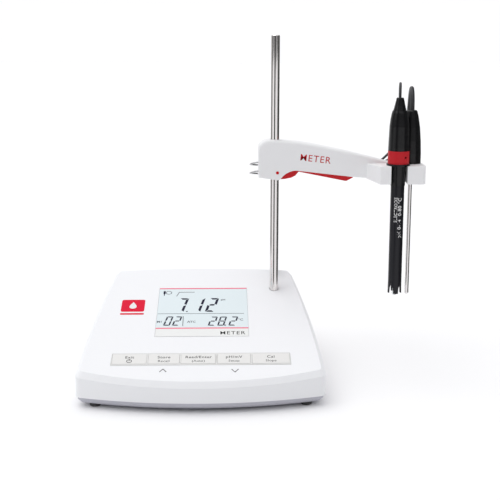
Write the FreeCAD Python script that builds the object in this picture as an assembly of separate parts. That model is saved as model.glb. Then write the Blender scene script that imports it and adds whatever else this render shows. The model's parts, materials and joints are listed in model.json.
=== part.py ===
"""Bench pH meter with its electrode arm, pH electrode, temperature probe and cables.

Millimetres, +Z up. The origin lies on the table, under the middle of the whole instrument
(without its cables), +X points to the electrode side and -Y to the person who reads the display.
"""
import FreeCAD, Part
import math
import os

from FreeCAD import Placement, Rotation, Vector

# ---------------------------------------------------------------- housing
BODY_W = 220.0            # width at the front corners
BODY_D = 184.0            # depth over the bowed front and back
MID_TO_FRONT = 87.5       # from the line that the inside is laid out from, to the front
BACK_W = 180.0            # width at the back corners
FRONT_BOW = 15.9          # how far the front edge bulges
BACK_BOW = 4.3
SIDE_BOW = 3.0
CORNER_R = 7.0
WALL = 2.5
BASE_Z = 3.2              # underside of the bottom cover
WALL_Z = 9.4              # seam between the two covers
FRONT_Z = 28.1            # top face at its front edge
REAR_Z = 80.7             # top face at its back edge
TOP_BEVEL = 4.0
BASE_BEVEL = 3.4
BASE_INSET = 1.6
FIT = 0.12                # gap round a piece that drops into a seat
LOOSE = 0.3               # gap between pieces that only pass each other

SCREW_R = 1.1             # small screws inside the housing
COVER_SCREW_R = 1.3
COVER_SCREWS = ((-88.0, -50.0), (88.0, -50.0), (-76.0, 64.0), (83.0, 30.0))
COVER_BOSS_R = 4.0
COVER_BOSS_Z = 14.0       # where the posts of the two covers meet
SLOPE_BOSS_R = 2.6
FOOT_R = 5.0
FEET = ((-93.0, -65.5), (93.0, -65.5), (-72.0, 74.0), (72.0, 74.0))
BOARD_Z = 19.0
BOARD = (-82.0, 56.0, -30.0, 57.0)
BOARD_INSET = 5.0         # from the board's edge to its posts

# ---------------------------------------------------------------- display and keypad, along the slope
LCD_W = 87.0
LCD_V0 = 65.0             # lower edge of the display window, measured up the slope
LCD_V1 = 147.0
LENS_T = 1.4
LEDGE = 3.0               # width of the ledge that carries the window
MODULE_T = 2.8
LIGHT_T = 3.0
LABEL_STRIP = 12.5        # printed strip below the display
KEY_WIDTHS = (32.0, 29.2, 32.2, 31.0, 34.8)
KEY_NAMES = ("key_exit", "key_store", "key_read", "key_setup", "key_cal")
KEY_V0 = 22.6
KEY_V1 = 39.4
KEY_GAP = 0.6             # half of the bar of the key frame between two keys
KEY_CLEAR = 0.15
KEY_PROUD = 0.45
KEY_TRAVEL = 0.5
FRAME_T = 1.2
FRAME_SKIRT = 2.2
BOARD_T = 1.6
SWITCH_T = 1.5
SWITCH_DOME = 0.25
KEY_FLANGE = 1.1
KEY_PLUNGER = 0.7
LAYER_GAP = 0.1           # gap between stacked pieces
LCD_SCREW_U = 50.0
LCD_SCREW_V = (84.0, 140.0)
KEY_SCREW_U = (-60.0, 0.0, 60.0)

# ---------------------------------------------------------------- rod and its socket
ROD_D = 8.5
ROD_X = 70.8              # from the middle of the housing
ROD_Y = 56.25
ROD_TOP_Z = 320.8
ROD_BOTTOM_Z = 30.0
RUN_FIT = 0.05            # radial running fit
SOCKET_D = 14.0
SOCKET_FLOOR = 3.0

# ---------------------------------------------------------------- arm
ARM_W = 20.0
ARM_WALL = 2.5
ARM_BACK = 16.0           # from the rod to the arm's blunt end
ARM_TO_HEAD = 89.0        # from the rod to where the head begins
ARM_TOP_Z = 219.8
ARM_EDGE_R = 3.0
HEAD_TOP_Z = 198.0
HEAD_BOTTOM_Z = 180.5
HEAD_REACH = 142.8        # from the rod to the far end of the head
HEAD_FRONT = 31.0         # from the rod's axis forward to the head's front face
HEAD_FLARE = 10.0
HEAD_WALL = 2.6
SLOT_W = 15.8
PIVOT_X = 2.2             # lever pivot, from the rod
PIVOT_Z = 188.8
PIN_R = 1.5
EAR_R = 4.4               # round ears of the lever on its pins
EAR_T = 1.6
LEVER_W = 13.0
LEVER_REACH = 76.0        # from the rod to the lever's far end
PAD_T = 1.5
SPRING_X = 30.0
SPRING_R = 3.0
SPRING_WIRE = 0.8
SPRING_TURNS = 5
SPRING_Z0 = 193.5
GUIDE_WIRE = 1.8
GUIDE_Z = (198.2, 189.4)  # where the two wire guides leave the arm
BUSH_D = 13.0
BUSH_Z0 = 200.0
BUSH_Z1 = 213.0
CLIP_REACH = 79.0         # cable clip, from the rod
CLIP_T = 6.0
CLIP_Z = 189.8
CLIP_HOLES = (4.6, 11.2)  # the two cables, behind the arm's back face

# ---------------------------------------------------------------- electrode and probe
ELECTRODE_REACH = 117.0   # from the rod along the arm
ELECTRODE_FORWARD = 23.0  # in front of the rod
BARREL_D = 13.0
BARREL_WALL = 1.3
CAP_D = 20.0
SLEEVE_D = 20.3
SLEEVE_H = 12.6
NECK_D = 17.0
FLANGE_D = 22.4
FLANGE_T = 1.6
COLLAR_D = 15.2
COLLAR_H = 19.5
CAP_H = 38.3
RELIEF_H = 12.0
GUARD_TOP_Z = 84.0
GUARD_TIP_Z = 72.1
BULB_D = 5.4
BULB_TIP_Z = 69.2
REFILL_D = 2.4
REFILL_DEG = -58.0        # where the refill hole faces, seen from above
PROBE_REACH = 132.0
PROBE_FORWARD = 8.0
PROBE_D = 4.0
PROBE_WALL = 0.4
PROBE_CAP_D = 19.0
PROBE_CAP_H = 51.5
PROBE_TIP_Z = 66.0

# ---------------------------------------------------------------- rear sockets, from the housing's middle
PANEL_Z0 = 13.5
PANEL_Z1 = 50.5
PANEL_X0 = -70.0
PANEL_X1 = 70.0
PANEL_T = 2.0
PANEL_INSET = 14.6        # from the back of the housing to the panel's face
SOCKET_Z = 34.0
REAR_REACH = 0.0          # how far the pH socket stands behind the housing
PH_SOCKET_X = 15.0
TEMP_SOCKET_X = 52.0
REF_SOCKET_X = -6.0
SERIAL_X = -32.0
POWER_X = -57.0

# ---------------------------------------------------------------- cables
PH_CABLE_D = 2.4
TEMP_CABLE_D = 4.2
PH_COIL_R = 13.5
TEMP_COIL_R = 23.0
COIL_LIFT = 0.8           # thickness of the tie under a coil
PH_COIL_AT = (-52.0, 122.0)
TEMP_COIL_AT = (8.0, 126.0)

# ---------------------------------------------------------------- worked out
BODY_X = -(ROD_X + HEAD_REACH - BODY_W / 2) / 2
BACK_Y = BODY_D - MID_TO_FRONT
FRONT_Y = -MID_TO_FRONT
BODY_Y = -(BACK_Y + REAR_REACH + FRONT_Y) / 2
SLOPE_Y0 = FRONT_Y + TOP_BEVEL
SLOPE_Y1 = BACK_Y - BACK_BOW
SLOPE = math.atan2(REAR_Z - FRONT_Z, SLOPE_Y1 - SLOPE_Y0)
ROD_R = ROD_D / 2
ROD_FOOT_Z = FRONT_Z + (ROD_Y - SLOPE_Y0) * math.tan(SLOPE)
SOCKET_TOP_Z = ROD_FOOT_Z - WALL - SOCKET_D / 2 * math.tan(SLOPE)
AXIS_X = BODY_X + ROD_X
AXIS_Y = BODY_Y + ROD_Y
ARM_Y0 = AXIS_Y - ARM_W / 2
ARM_Y1 = AXIS_Y + ARM_W / 2
ELECTRODE = (AXIS_X + ELECTRODE_REACH, AXIS_Y - ELECTRODE_FORWARD)
PROBE = (AXIS_X + PROBE_REACH, AXIS_Y - PROBE_FORWARD)
KEYPAD_W = sum(KEY_WIDTHS)
PANEL_Y = BACK_Y - PANEL_INSET
SLEEVE_Z0 = HEAD_TOP_Z + FLANGE_T
CAP_Z0 = SLEEVE_Z0 + SLEEVE_H
CAP_TOP_Z = CAP_Z0 + CAP_H
RELIEF_TOP_Z = CAP_TOP_Z + RELIEF_H
PROBE_CAP_TOP_Z = HEAD_TOP_Z + PROBE_CAP_H
LCD_SCREWS = tuple((u, v) for u in (-LCD_SCREW_U, LCD_SCREW_U) for v in LCD_SCREW_V)
KEY_SCREWS = tuple((u, KEY_V1 + SLOPE_BOSS_R + 0.5) for u in KEY_SCREW_U)
LCD_BACK_W = -(WALL + MODULE_T + LIGHT_T + 3 * LAYER_GAP)
KEY_BOARD_W = -(FRAME_T + FRAME_SKIRT + KEY_FLANGE + KEY_PLUNGER + KEY_TRAVEL + SWITCH_DOME + SWITCH_T
                + 2 * LAYER_GAP)
BOARD_POSTS = tuple((x, y) for x in (BOARD[0] + BOARD_INSET, BOARD[1] - BOARD_INSET)
                    for y in (BOARD[2] + BOARD_INSET, BOARD[3] - BOARD_INSET))
PANEL_SCREWS = ((PANEL_X0 + 4, PANEL_Z1 - 6.5), (PANEL_X1 - 4, PANEL_Z1 - 6.5))
BODY_AT = Vector(BODY_X, BODY_Y, 0)
SLOPE_AT = Placement(Vector(BODY_X, BODY_Y + SLOPE_Y0, FRONT_Z),
                     Rotation(Vector(1, 0, 0), math.degrees(SLOPE)))


# ================================================================ small helpers
def box(x0, x1, y0, y1, z0, z1):
    """A block between two corners."""
    return Part.makeBox(x1 - x0, y1 - y0, z1 - z0, Vector(x0, y0, z0))


def rod(r, start, end):
    """A round bar between two points."""
    a = Vector(*start)
    b = Vector(*end)
    return Part.makeCylinder(r, a.distanceToPoint(b), a, b - a)


def upright(r, x, y, z0, z1):
    """A vertical round bar."""
    return rod(r, (x, y, z0), (x, y, z1))


def polygon(points):
    """A closed wire through points given in order."""
    corners = [Vector(*p) for p in points]
    return Part.makePolygon(corners + corners[:1])


def turned(profile, x, y):
    """A turned piece about the vertical line at x, y; the profile lists radius and height."""
    outline = polygon([(r, 0, z) for r, z in profile])
    solid = Part.Face(outline).revolve(Vector(0, 0, 0), Vector(0, 0, 1), 360)
    solid.translate(Vector(x, y, 0))
    return solid


def turned_back(profile, x, z):
    """A turned piece about a line that points backward; the profile lists radius and depth."""
    solid = turned(profile, 0, 0)
    solid.rotate(Vector(0, 0, 0), Vector(1, 0, 0), -90)
    solid.translate(Vector(x, 0, z))
    return solid


def prism_xz(points, y0, y1):
    """A plate with its outline seen from the front."""
    return Part.Face(polygon([(x, y0, z) for x, z in points])).extrude(Vector(0, y1 - y0, 0))


def prism_xy(points, z0, z1):
    """A plate with its outline seen from above."""
    return Part.Face(polygon([(x, y, z0) for x, y in points])).extrude(Vector(0, 0, z1 - z0))


def joined(shapes):
    """One solid out of several that touch."""
    return shapes[0].multiFuse(shapes[1:]).removeSplitter() if len(shapes) > 1 else shapes[0]


def on_body(shape):
    """Move a piece from the housing's own middle to its place."""
    moved = shape.copy()
    moved.translate(BODY_AT)
    return moved


def on_slope(shape):
    """Lay a piece on the sloping top: x across, y up the slope, z out of the face."""
    moved = shape.copy()
    moved.Placement = SLOPE_AT.multiply(moved.Placement)
    return moved


def save(name, *solids):
    """Write one node; several solids make a group."""
    for solid in solids:
        if not solid.isValid() or solid.Volume <= 0:
            raise ValueError("bad solid in " + name)
    shape = solids[0] if len(solids) == 1 else Part.makeCompound(list(solids))
    shape.exportStep(os.path.join("parts", name + ".step"))


def tube_path(points):
    """Straight runs joined by tangent arcs, each arc as large as its two runs allow."""
    pts = [Vector(*p) for p in points]
    edges = []
    radii = []
    at = pts[0]
    for before, here, after in zip(pts, pts[1:], pts[2:]):
        come = (here - before).normalize()
        go = (after - here).normalize()
        half = come.getAngle(go) / 2
        short = 0.45 * min(before.distanceToPoint(here), here.distanceToPoint(after))
        start = here - come * short
        end = here + go * short
        radius = short / math.tan(half)
        inward = (go - come).normalize()
        middle = here + inward * (radius / math.cos(half) - radius)
        edges.append(Part.makeLine(at, start))
        edges.append(Part.Arc(start, middle, end).toShape())
        radii.append(radius)
        at = end
    edges.append(Part.makeLine(at, pts[-1]))
    return Part.Wire(edges), radii


def tube(name, points, diameter):
    """A cable's plain tube along hand-chosen points."""
    path, radii = tube_path(points)
    start = Vector(*points[0])
    along = Vector(*points[1]) - start
    section = Part.Wire(Part.makeCircle(diameter / 2, start, along))
    solid = path.makePipeShell([section], True, False)
    ideal = math.pi * diameter ** 2 / 4 * path.Length
    print("%-22s length %6.1f  least radius %5.1f  volume ratio %.4f"
          % (name, path.Length, min(radii), solid.Volume / ideal))
    return solid


# ================================================================ housing
def plan_prism(inset, z0, z1):
    """The housing's plan shape, shrunk all round by inset, as an upright prism."""
    half_f = BODY_W / 2 - inset
    half_b = BACK_W / 2 - inset
    y_f = FRONT_Y + FRONT_BOW + inset
    y_b = BACK_Y - BACK_BOW - inset
    mid_x = (half_f + half_b) / 2 + SIDE_BOW
    mid_y = (y_f + y_b) / 2
    corners = [Vector(-half_f, y_f, z0), Vector(half_f, y_f, z0),
               Vector(half_b, y_b, z0), Vector(-half_b, y_b, z0)]
    bulges = [Vector(0, FRONT_Y + inset, z0), Vector(mid_x, mid_y, z0),
              Vector(0, BACK_Y - inset, z0), Vector(-mid_x, mid_y, z0)]
    edges = []
    for i in range(4):
        edges.append(Part.Arc(corners[i], bulges[i], corners[(i + 1) % 4]).toShape())
    solid = Part.Face(Part.Wire(edges)).extrude(Vector(0, 0, z1 - z0))
    upright_edges = [e for e in solid.Edges if abs(e.Vertexes[0].Z - e.Vertexes[-1].Z) > (z1 - z0) / 2]
    return solid.makeFillet(max(CORNER_R - inset, 1.0), upright_edges)


def wedge(inset, drop):
    """The housing's outer shape (or, shrunk, its hollow), cut by the sloping top and bevelled."""
    block = on_body(plan_prism(inset, WALL_Z - (1.0 if inset else 0.0), REAR_Z + 30))
    above = on_slope(box(-BODY_W, BODY_W, -BODY_D, 2 * BODY_D, -drop, BODY_D))
    solid = block.cut(above)
    normal = SLOPE_AT.Rotation.multVec(Vector(0, 0, 1))
    tops = [f for f in solid.Faces if f.normalAt(0, 0).getAngle(normal) < 0.01]
    return solid.makeChamfer(TOP_BEVEL, tops[0].OuterWire.Edges)


def slope_seat(u0, u1, v0, v1, depth, ledge):
    """Material to remove for a window or key frame: a shallow seat and a hole through its floor."""
    seat = box(u0 - FIT, u1 + FIT, v0 - FIT, v1 + FIT, -depth, 5)
    hole = box(u0 + ledge, u1 - ledge, v0 + ledge, v1 - ledge, -4 * WALL, 0)
    return on_slope(seat.fuse(hole))


def top_cover():
    """The upper shell with its openings and the bosses inside it."""
    outer = wedge(0.0, 0.0)
    shell = outer.cut(wedge(WALL, WALL))
    bosses = []
    for x, y in COVER_SCREWS:
        bosses.append(on_body(upright(COVER_BOSS_R, x, y, COVER_BOSS_Z, REAR_Z + 20)))
    boss_z = ROD_BOTTOM_Z - SOCKET_FLOOR
    bosses.append(on_body(upright(SOCKET_D / 2 + WALL, ROD_X, ROD_Y, boss_z, REAR_Z + 20)))
    for u, v in LCD_SCREWS:
        bosses.append(on_slope(upright(SLOPE_BOSS_R, u, v, LCD_BACK_W + 1.6, 0)))
    for u, v in KEY_SCREWS:
        bosses.append(on_slope(upright(SLOPE_BOSS_R, u, v, KEY_BOARD_W, 0)))
    for x, z in PANEL_SCREWS:
        bosses.append(on_body(rod(3.0, (x, PANEL_Y, z), (x, BACK_Y + 5, z))))
    bosses.append(on_body(box(PANEL_X0 + 6, PANEL_X1 - 6, PANEL_Y, BACK_Y + 5, PANEL_Z0 + 2, PANEL_Z1 - 2)))
    shell = joined([shell] + [b.common(outer) for b in bosses])
    cuts = [slope_seat(-LCD_W / 2, LCD_W / 2, LCD_V0, LCD_V1, LENS_T, LEDGE),
            slope_seat(-KEYPAD_W / 2, KEYPAD_W / 2, KEY_V0, KEY_V1, FRAME_T, KEY_GAP)]
    for x, y in COVER_SCREWS:
        cuts.append(on_body(upright(COVER_SCREW_R, x, y, COVER_BOSS_Z, COVER_BOSS_Z + 10)))
    cuts.append(on_body(upright(SOCKET_D / 2, ROD_X, ROD_Y, 0, SOCKET_TOP_Z)))
    cuts.append(on_body(upright(ROD_R + 0.4, ROD_X, ROD_Y, 0, REAR_Z + 20)))
    for u, v in LCD_SCREWS:
        cuts.append(on_slope(upright(SCREW_R, u, v, LCD_BACK_W - 1, -WALL - 0.5)))
    for u, v in KEY_SCREWS:
        cuts.append(on_slope(upright(SCREW_R, u, v, KEY_BOARD_W - 1, -WALL - 0.5)))
    for x, z in PANEL_SCREWS:
        cuts.append(on_body(rod(1.1, (x, PANEL_Y - 1, z), (x, PANEL_Y + 3, z))))
    cuts.append(on_body(box(PANEL_X0 + 8, PANEL_X1 - 8, PANEL_Y - 5, BACK_Y + 5, PANEL_Z0 + 4, PANEL_Z1 - 4)))
    return shell.cut(Part.makeCompound(cuts))


def bottom_cover():
    """The lower tray with its tongue, screw posts, board posts and foot recesses."""
    tray = plan_prism(BASE_INSET, BASE_Z, WALL_Z)
    low = [f for f in tray.Faces if f.normalAt(0, 0).z < -0.99][0]
    tray = tray.makeChamfer(BASE_BEVEL, low.OuterWire.Edges)
    tongue = plan_prism(WALL + 0.25, WALL_Z - 1, WALL_Z + 3.5)
    body = tray.fuse(tongue).cut(plan_prism(WALL + 2.5, BASE_Z + 2.2, WALL_Z + 6))
    posts = [upright(COVER_BOSS_R, x, y, BASE_Z + 1, COVER_BOSS_Z) for x, y in COVER_SCREWS]
    posts += [upright(3.0, x, y, BASE_Z + 1, BOARD_Z) for x, y in BOARD_POSTS]
    body = joined([body] + posts)
    holes = []
    for x, y in COVER_SCREWS:
        holes.append(upright(1.7, x, y, 0, COVER_BOSS_Z + 1))
        holes.append(upright(3.2, x, y, 0, BASE_Z + 4.0))
    for x, y in BOARD_POSTS:
        holes.append(upright(SCREW_R, x, y, BOARD_Z - 8, BOARD_Z + 1))
    for x, y in FEET:
        holes.append(upright(FOOT_R + FIT, x, y, 0, BASE_Z + 1.0))
    return on_body(body.cut(Part.makeCompound(holes)))


def screw_up(x, y, z_head, z_end, r, head_r, head_h):
    """A screw driven upward, with a cross-slot in its head."""
    screw = joined([upright(r, x, y, z_head, z_end), upright(head_r, x, y, z_head - head_h, z_head)])
    slot = box(x - head_r, x + head_r, y - 0.3, y + 0.3, z_head - head_h - 1, z_head - head_h + 0.7)
    return screw.cut(slot)


def build_housing():
    """Both covers, feet and the screws that hold them."""
    save("top_cover", top_cover())
    save("bottom_cover", bottom_cover())
    feet = [upright(FOOT_R, x, y, 0, BASE_Z + 1.0) for x, y in FEET]
    rounded = [f.makeFillet(0.6, [f.Edges[i] for i in range(len(f.Edges)) if f.Edges[i].BoundBox.ZMax < 0.1])
               for f in feet]
    save("rubber_feet", *[on_body(f) for f in rounded])
    screws = []
    for x, y in COVER_SCREWS:
        screws.append(screw_up(x, y, BASE_Z + 4.0, COVER_BOSS_Z + 8, COVER_SCREW_R, 2.8, 2.0))
    save("cover_screws", *[on_body(s) for s in screws])


# ================================================================ display and keys
def build_display():
    """Window, liquid crystal module, light and the bracket that holds them."""
    half = LCD_W / 2
    save("display_window", on_slope(box(-half, half, LCD_V0, LCD_V1, -LENS_T, 0)))
    u = half - LEDGE + 1.0
    v0 = LCD_V0 + LABEL_STRIP
    v1 = LCD_V1 - LEDGE + 1.0
    w = -(WALL + LAYER_GAP)
    save("lcd_panel", on_slope(box(-u, u, v0, v1, w - MODULE_T, w)))
    w -= MODULE_T + LAYER_GAP
    save("lcd_light", on_slope(box(-u, u, v0, v1, w - LIGHT_T, w)))
    bracket = box(-u - 4, u + 4, v0 - 4, v1 + 4, LCD_BACK_W - 1.5, -WALL)
    bracket = bracket.cut(box(-u - FIT, u + FIT, v0 - FIT, v1 + FIT, LCD_BACK_W, 0))
    bracket = bracket.cut(box(-u + 8, u - 8, v0 + 8, v1 - 8, LCD_BACK_W - 3, 0))
    ears = [box(min(x, 0.9 * x) - 4, max(x, 0.9 * x) + 4, y - 4, y + 4, LCD_BACK_W, LCD_BACK_W + 1.5)
            for x, y in LCD_SCREWS]
    bracket = joined([bracket] + [e.cut(box(-u - 1, u + 1, 0, 200, -50, 0)) for e in ears])
    holes = [upright(SCREW_R + 0.3, x, y, -50, 0) for x, y in LCD_SCREWS]
    save("lcd_bracket", on_slope(bracket.cut(Part.makeCompound(holes))))


def key_spans():
    """Left and right edge of each key's window, from left to right."""
    spans = []
    left = -KEYPAD_W / 2
    for width in KEY_WIDTHS:
        spans.append((left + KEY_GAP / 2, left + width - KEY_GAP / 2))
        left += width
    return spans


def build_keypad():
    """Key frame, five keys, their switches and the board under them."""
    half = KEYPAD_W / 2
    v0 = KEY_V0 + KEY_GAP
    v1 = KEY_V1 - KEY_GAP
    skirt = -(FRAME_T + FRAME_SKIRT)
    frame = box(-half, half, KEY_V0, KEY_V1, -FRAME_T, 0.15)
    inner = box(-half + KEY_GAP + FIT, half - KEY_GAP - FIT, v0 + FIT, v1 - FIT, skirt, -FRAME_T + 0.1)
    frame = frame.fuse(inner)
    flange_top = skirt - LAYER_GAP
    flange_bottom = flange_top - KEY_FLANGE
    plunger = flange_bottom - KEY_PLUNGER
    switches = []
    for (left, right), name in zip(key_spans(), KEY_NAMES):
        u0 = left + KEY_CLEAR + KEY_GAP / 2
        u1 = right - KEY_CLEAR - KEY_GAP / 2
        frame = frame.cut(box(u0 - KEY_CLEAR, u1 + KEY_CLEAR, v0 + 0.8, v1 - 0.8, -20, 5))
        stem = box(u0, u1, v0 + 0.8 + KEY_CLEAR, v1 - 0.8 - KEY_CLEAR, flange_top - 0.1, KEY_PROUD)
        upper = [e for e in stem.Edges if e.BoundBox.ZMin > KEY_PROUD - 0.01]
        stem = stem.makeFillet(0.3, upper)
        flange = box(u0 - 0.5, u1 + 0.5, v0, v1, flange_bottom, flange_top)
        mid = ((u0 + u1) / 2, (v0 + v1) / 2)
        pin = upright(1.6, mid[0], mid[1], plunger, flange_bottom)
        save(name, on_slope(joined([stem, flange, pin])))
        base = box(mid[0] - 3, mid[0] + 3, mid[1] - 3, mid[1] + 3, KEY_BOARD_W, KEY_BOARD_W + SWITCH_T)
        dome = upright(1.7, mid[0], mid[1], KEY_BOARD_W + SWITCH_T, KEY_BOARD_W + SWITCH_T + SWITCH_DOME)
        switches.append(on_slope(joined([base, dome])))
    save("key_frame", on_slope(frame))
    save("key_switches", *switches)
    board = box(-half + 3, half - 3, KEY_V0 - 1, KEY_V1 + 8, KEY_BOARD_W - BOARD_T, KEY_BOARD_W)
    holes = [upright(SCREW_R + 0.2, x, y, -50, 0) for x, y in KEY_SCREWS]
    save("key_board", on_slope(board.cut(Part.makeCompound(holes))))


# ================================================================ electronics and rear sockets
def build_small_screws():
    """Every small screw inside the housing: display bracket, key board, main board and rear panel."""
    screws = []
    for u, v in LCD_SCREWS:
        screws.append(on_slope(screw_up(u, v, LCD_BACK_W, -WALL - 1, SCREW_R, 2.0, 1.3)))
    for u, v in KEY_SCREWS:
        screws.append(on_slope(screw_up(u, v, KEY_BOARD_W - BOARD_T, -WALL - 1, SCREW_R, 2.0, 1.3)))
    top = BOARD_Z + BOARD_T
    for x, y in BOARD_POSTS:
        head = upright(2.0, x, y, top, top + 1.3)
        screws.append(on_body(joined([head, upright(SCREW_R, x, y, BOARD_Z - 6, top)])))
    y = PANEL_Y - PANEL_T
    for x, z in PANEL_SCREWS:
        head = rod(2.0, (x, y - 1.3, z), (x, y, z))
        screws.append(on_body(joined([head, rod(SCREW_R, (x, y, z), (x, PANEL_Y + 2.5, z))])))
    save("small_screws", *screws)


def build_electronics():
    """Main board with its chips and the shield over the electrode input."""
    x0, x1, y0, y1 = BOARD
    board = box(x0, x1, y0, y1, BOARD_Z, BOARD_Z + BOARD_T)
    holes = [upright(SCREW_R + 0.2, x, y, 0, 40) for x, y in BOARD_POSTS]
    save("main_board", on_body(board.cut(Part.makeCompound(holes))))
    top = BOARD_Z + BOARD_T
    chips = [box(-20, -6, -8, 6, top, top + 1.6), box(10, 20, -12, -5, top, top + 1.8),
             box(-55, -45, 20, 28, top, top + 2.0), upright(4.0, -62, 40, top, top + 11)]
    save("board_chips", *[on_body(c) for c in chips])
    shield = box(2, 34, 28, 52, top, top + 7)
    shield = shield.cut(box(2.4, 33.6, 28.4, 51.6, top - 1, top + 6.6))
    save("input_shield", on_body(shield))


def panel_holes():
    """Through holes in the rear panel: centre across and radius of each round one."""
    return ((PH_SOCKET_X, 4.6), (TEMP_SOCKET_X, 3.4), (REF_SOCKET_X, 3.0))


def build_rear():
    """Rear panel with the pH, temperature, reference, serial and power sockets."""
    y = PANEL_Y
    z = SOCKET_Z
    panel = box(PANEL_X0, PANEL_X1, y - PANEL_T, y, PANEL_Z0, PANEL_Z1)
    cuts = [rod(r + FIT, (x, y - 5, z), (x, y + 5, z)) for x, r in panel_holes()]
    cuts.append(box(SERIAL_X - 8.7, SERIAL_X + 8.7, y - 5, y + 5, z - 4.7, z + 4.7))
    cuts.append(box(POWER_X - 4.6, POWER_X + 4.6, y - 5, y + 5, z - 5.6, z + 5.6))
    cuts += [rod(1.4, (x, y - 5, pz), (x, y + 5, pz)) for x, pz in PANEL_SCREWS]
    save("rear_panel", on_body(panel.cut(Part.makeCompound(cuts))))
    end = BACK_Y + REAR_REACH
    jack = turned_back([(0, y - 9), (4.5, y - 9), (4.5, y + 0.1), (7.6, y + 0.1), (7.6, y + 1.8),
                        (4.8, y + 1.8), (4.8, end), (4.0, end), (4.0, y + 3), (0.7, y + 3),
                        (0.7, end - 3), (0, end - 3)], PH_SOCKET_X, z)
    lugs = rod(0.9, (PH_SOCKET_X, end - 4, z - 5.6), (PH_SOCKET_X, end - 4, z - 4.3))
    lugs = lugs.fuse(rod(0.9, (PH_SOCKET_X, end - 4, z + 4.3), (PH_SOCKET_X, end - 4, z + 5.6)))
    save("ph_socket", on_body(jack.fuse(lugs)))
    pin_end = end - 1
    cinch = turned_back([(0, y - 8), (3.3, y - 8), (3.3, y + 0.1), (6.0, y + 0.1), (6.0, y + 1.6),
                         (4.2, y + 1.6), (4.2, pin_end), (1.6, pin_end), (1.6, y + 2), (0, y + 2)],
                        TEMP_SOCKET_X, z)
    save("temp_socket", on_body(cinch))
    reference = turned_back([(0, y - 8), (2.9, y - 8), (2.9, y + 0.1), (4.6, y + 0.1), (4.6, y + 3.5),
                             (1.1, y + 3.5), (1.1, y - 6), (0, y - 6)], REF_SOCKET_X, z)
    save("reference_socket", on_body(reference))
    serial = box(SERIAL_X - 15.5, SERIAL_X + 15.5, y + 0.1, y + 0.9, z - 6.2, z + 6.2)
    shell = box(SERIAL_X - 8.4, SERIAL_X + 8.4, y - 8, y + 6, z - 4.4, z + 4.4)
    shell = shell.cut(box(SERIAL_X - 7.8, SERIAL_X + 7.8, y + 1.5, y + 8, z - 3.8, z + 3.8))
    core = box(SERIAL_X - 7.2, SERIAL_X + 7.2, y + 1.0, y + 5.4, z - 3.2, z + 3.2)
    holes = []
    for count, dz in ((5, 1.4), (4, -1.4)):
        holes += [rod(0.6, (SERIAL_X + 2.77 * (i - (count - 1) / 2), y + 2, z + dz),
                      (SERIAL_X + 2.77 * (i - (count - 1) / 2), y + 8, z + dz)) for i in range(count)]
    posts = []
    for side in (-1, 1):
        x = SERIAL_X + side * 12.5
        posts.append(rod(2.4, (x, y + 0.9, z), (x, y + 5, z)).cut(rod(1.3, (x, y + 1.5, z), (x, y + 6, z))))
    save("serial_port", on_body(joined([serial, shell, core.cut(Part.makeCompound(holes))] + posts)))
    inlet = box(POWER_X - 4.5, POWER_X + 4.5, y - 9, y + 1.2, z - 5.5, z + 5.5)
    inlet = inlet.cut(rod(3.1, (POWER_X, y - 7, z), (POWER_X, y + 5, z)))
    save("power_inlet", on_body(inlet.fuse(rod(1.0, (POWER_X, y - 7.5, z), (POWER_X, y + 0.6, z)))))


# ================================================================ rod
def build_rod():
    """Steel rod and the metal socket that it stands in."""
    bore = ROD_R + RUN_FIT
    low = ROD_BOTTOM_Z - SOCKET_FLOOR
    socket = turned([(0, low), (SOCKET_D / 2, low), (SOCKET_D / 2, SOCKET_TOP_Z), (bore, SOCKET_TOP_Z),
                     (bore, ROD_BOTTOM_Z), (0, ROD_BOTTOM_Z)], AXIS_X, AXIS_Y)
    save("rod_socket", socket)
    bar = upright(ROD_R, AXIS_X, AXIS_Y, ROD_BOTTOM_Z, ROD_TOP_Z)
    ends = [e for e in bar.Edges if e.BoundBox.ZMin > ROD_TOP_Z - 0.1]
    save("support_rod", bar.makeChamfer(0.6, ends))


# ================================================================ arm
def arm_outline():
    """Front view of the arm between its blunt end and the head, as a closed wire at y = 0."""
    x = AXIS_X
    left = x - ARM_BACK
    crown = [(left, ARM_TOP_Z - 5.5), (left + 3.5, ARM_TOP_Z - 1.4), (x + 5, ARM_TOP_Z),
             (x + 24, ARM_TOP_Z - 1.8), (x + 42, ARM_TOP_Z - 4.9),
             (x + 67, ARM_TOP_Z - 10.2), (x + ARM_TO_HEAD + 3, ARM_TOP_Z - 16.3),
             (x + ARM_TO_HEAD + 24, HEAD_TOP_Z)]
    curve = Part.BSplineCurve()
    curve.interpolate([Vector(px, 0, pz) for px, pz in crown])
    below = [(x + ARM_TO_HEAD + 24, HEAD_BOTTOM_Z + 3.2), (x + ARM_TO_HEAD, HEAD_BOTTOM_Z + 3.2),
             (x + 76, 184.6), (x + 20.5, 191.0)]
    arch = Part.Arc(Vector(x + 20.5, 0, 191.0), Vector(x + 11.8, 0, 188.6), Vector(x + 5.0, 0, 182.2))
    arch = arch.toShape()
    end = [(x + 5.0, 182.2), (x + 2.3, 181.5), (left, 184.3), (left, ARM_TOP_Z - 5.5)]
    edges = [curve.toShape(), Part.makePolygon([Vector(crown[-1][0], 0, crown[-1][1])]
                                               + [Vector(px, 0, pz) for px, pz in below])]
    edges += [arch, Part.makePolygon([Vector(px, 0, pz) for px, pz in end])]
    flat = []
    for item in edges:
        flat += item.Edges
    return Part.Wire(Part.__sortEdges__(flat))


def head_plan(grow):
    """Plan outline of the head, shrunk by grow when it is negative."""
    x0 = AXIS_X + ARM_TO_HEAD - grow
    x1 = AXIS_X + HEAD_REACH + grow
    y0 = AXIS_Y - HEAD_FRONT - grow
    y1 = ARM_Y1 + grow
    return [(x0, y1), (x0, ARM_Y0 - grow), (x0 + HEAD_FLARE, y0), (x1, y0), (x1, y1)]


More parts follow.
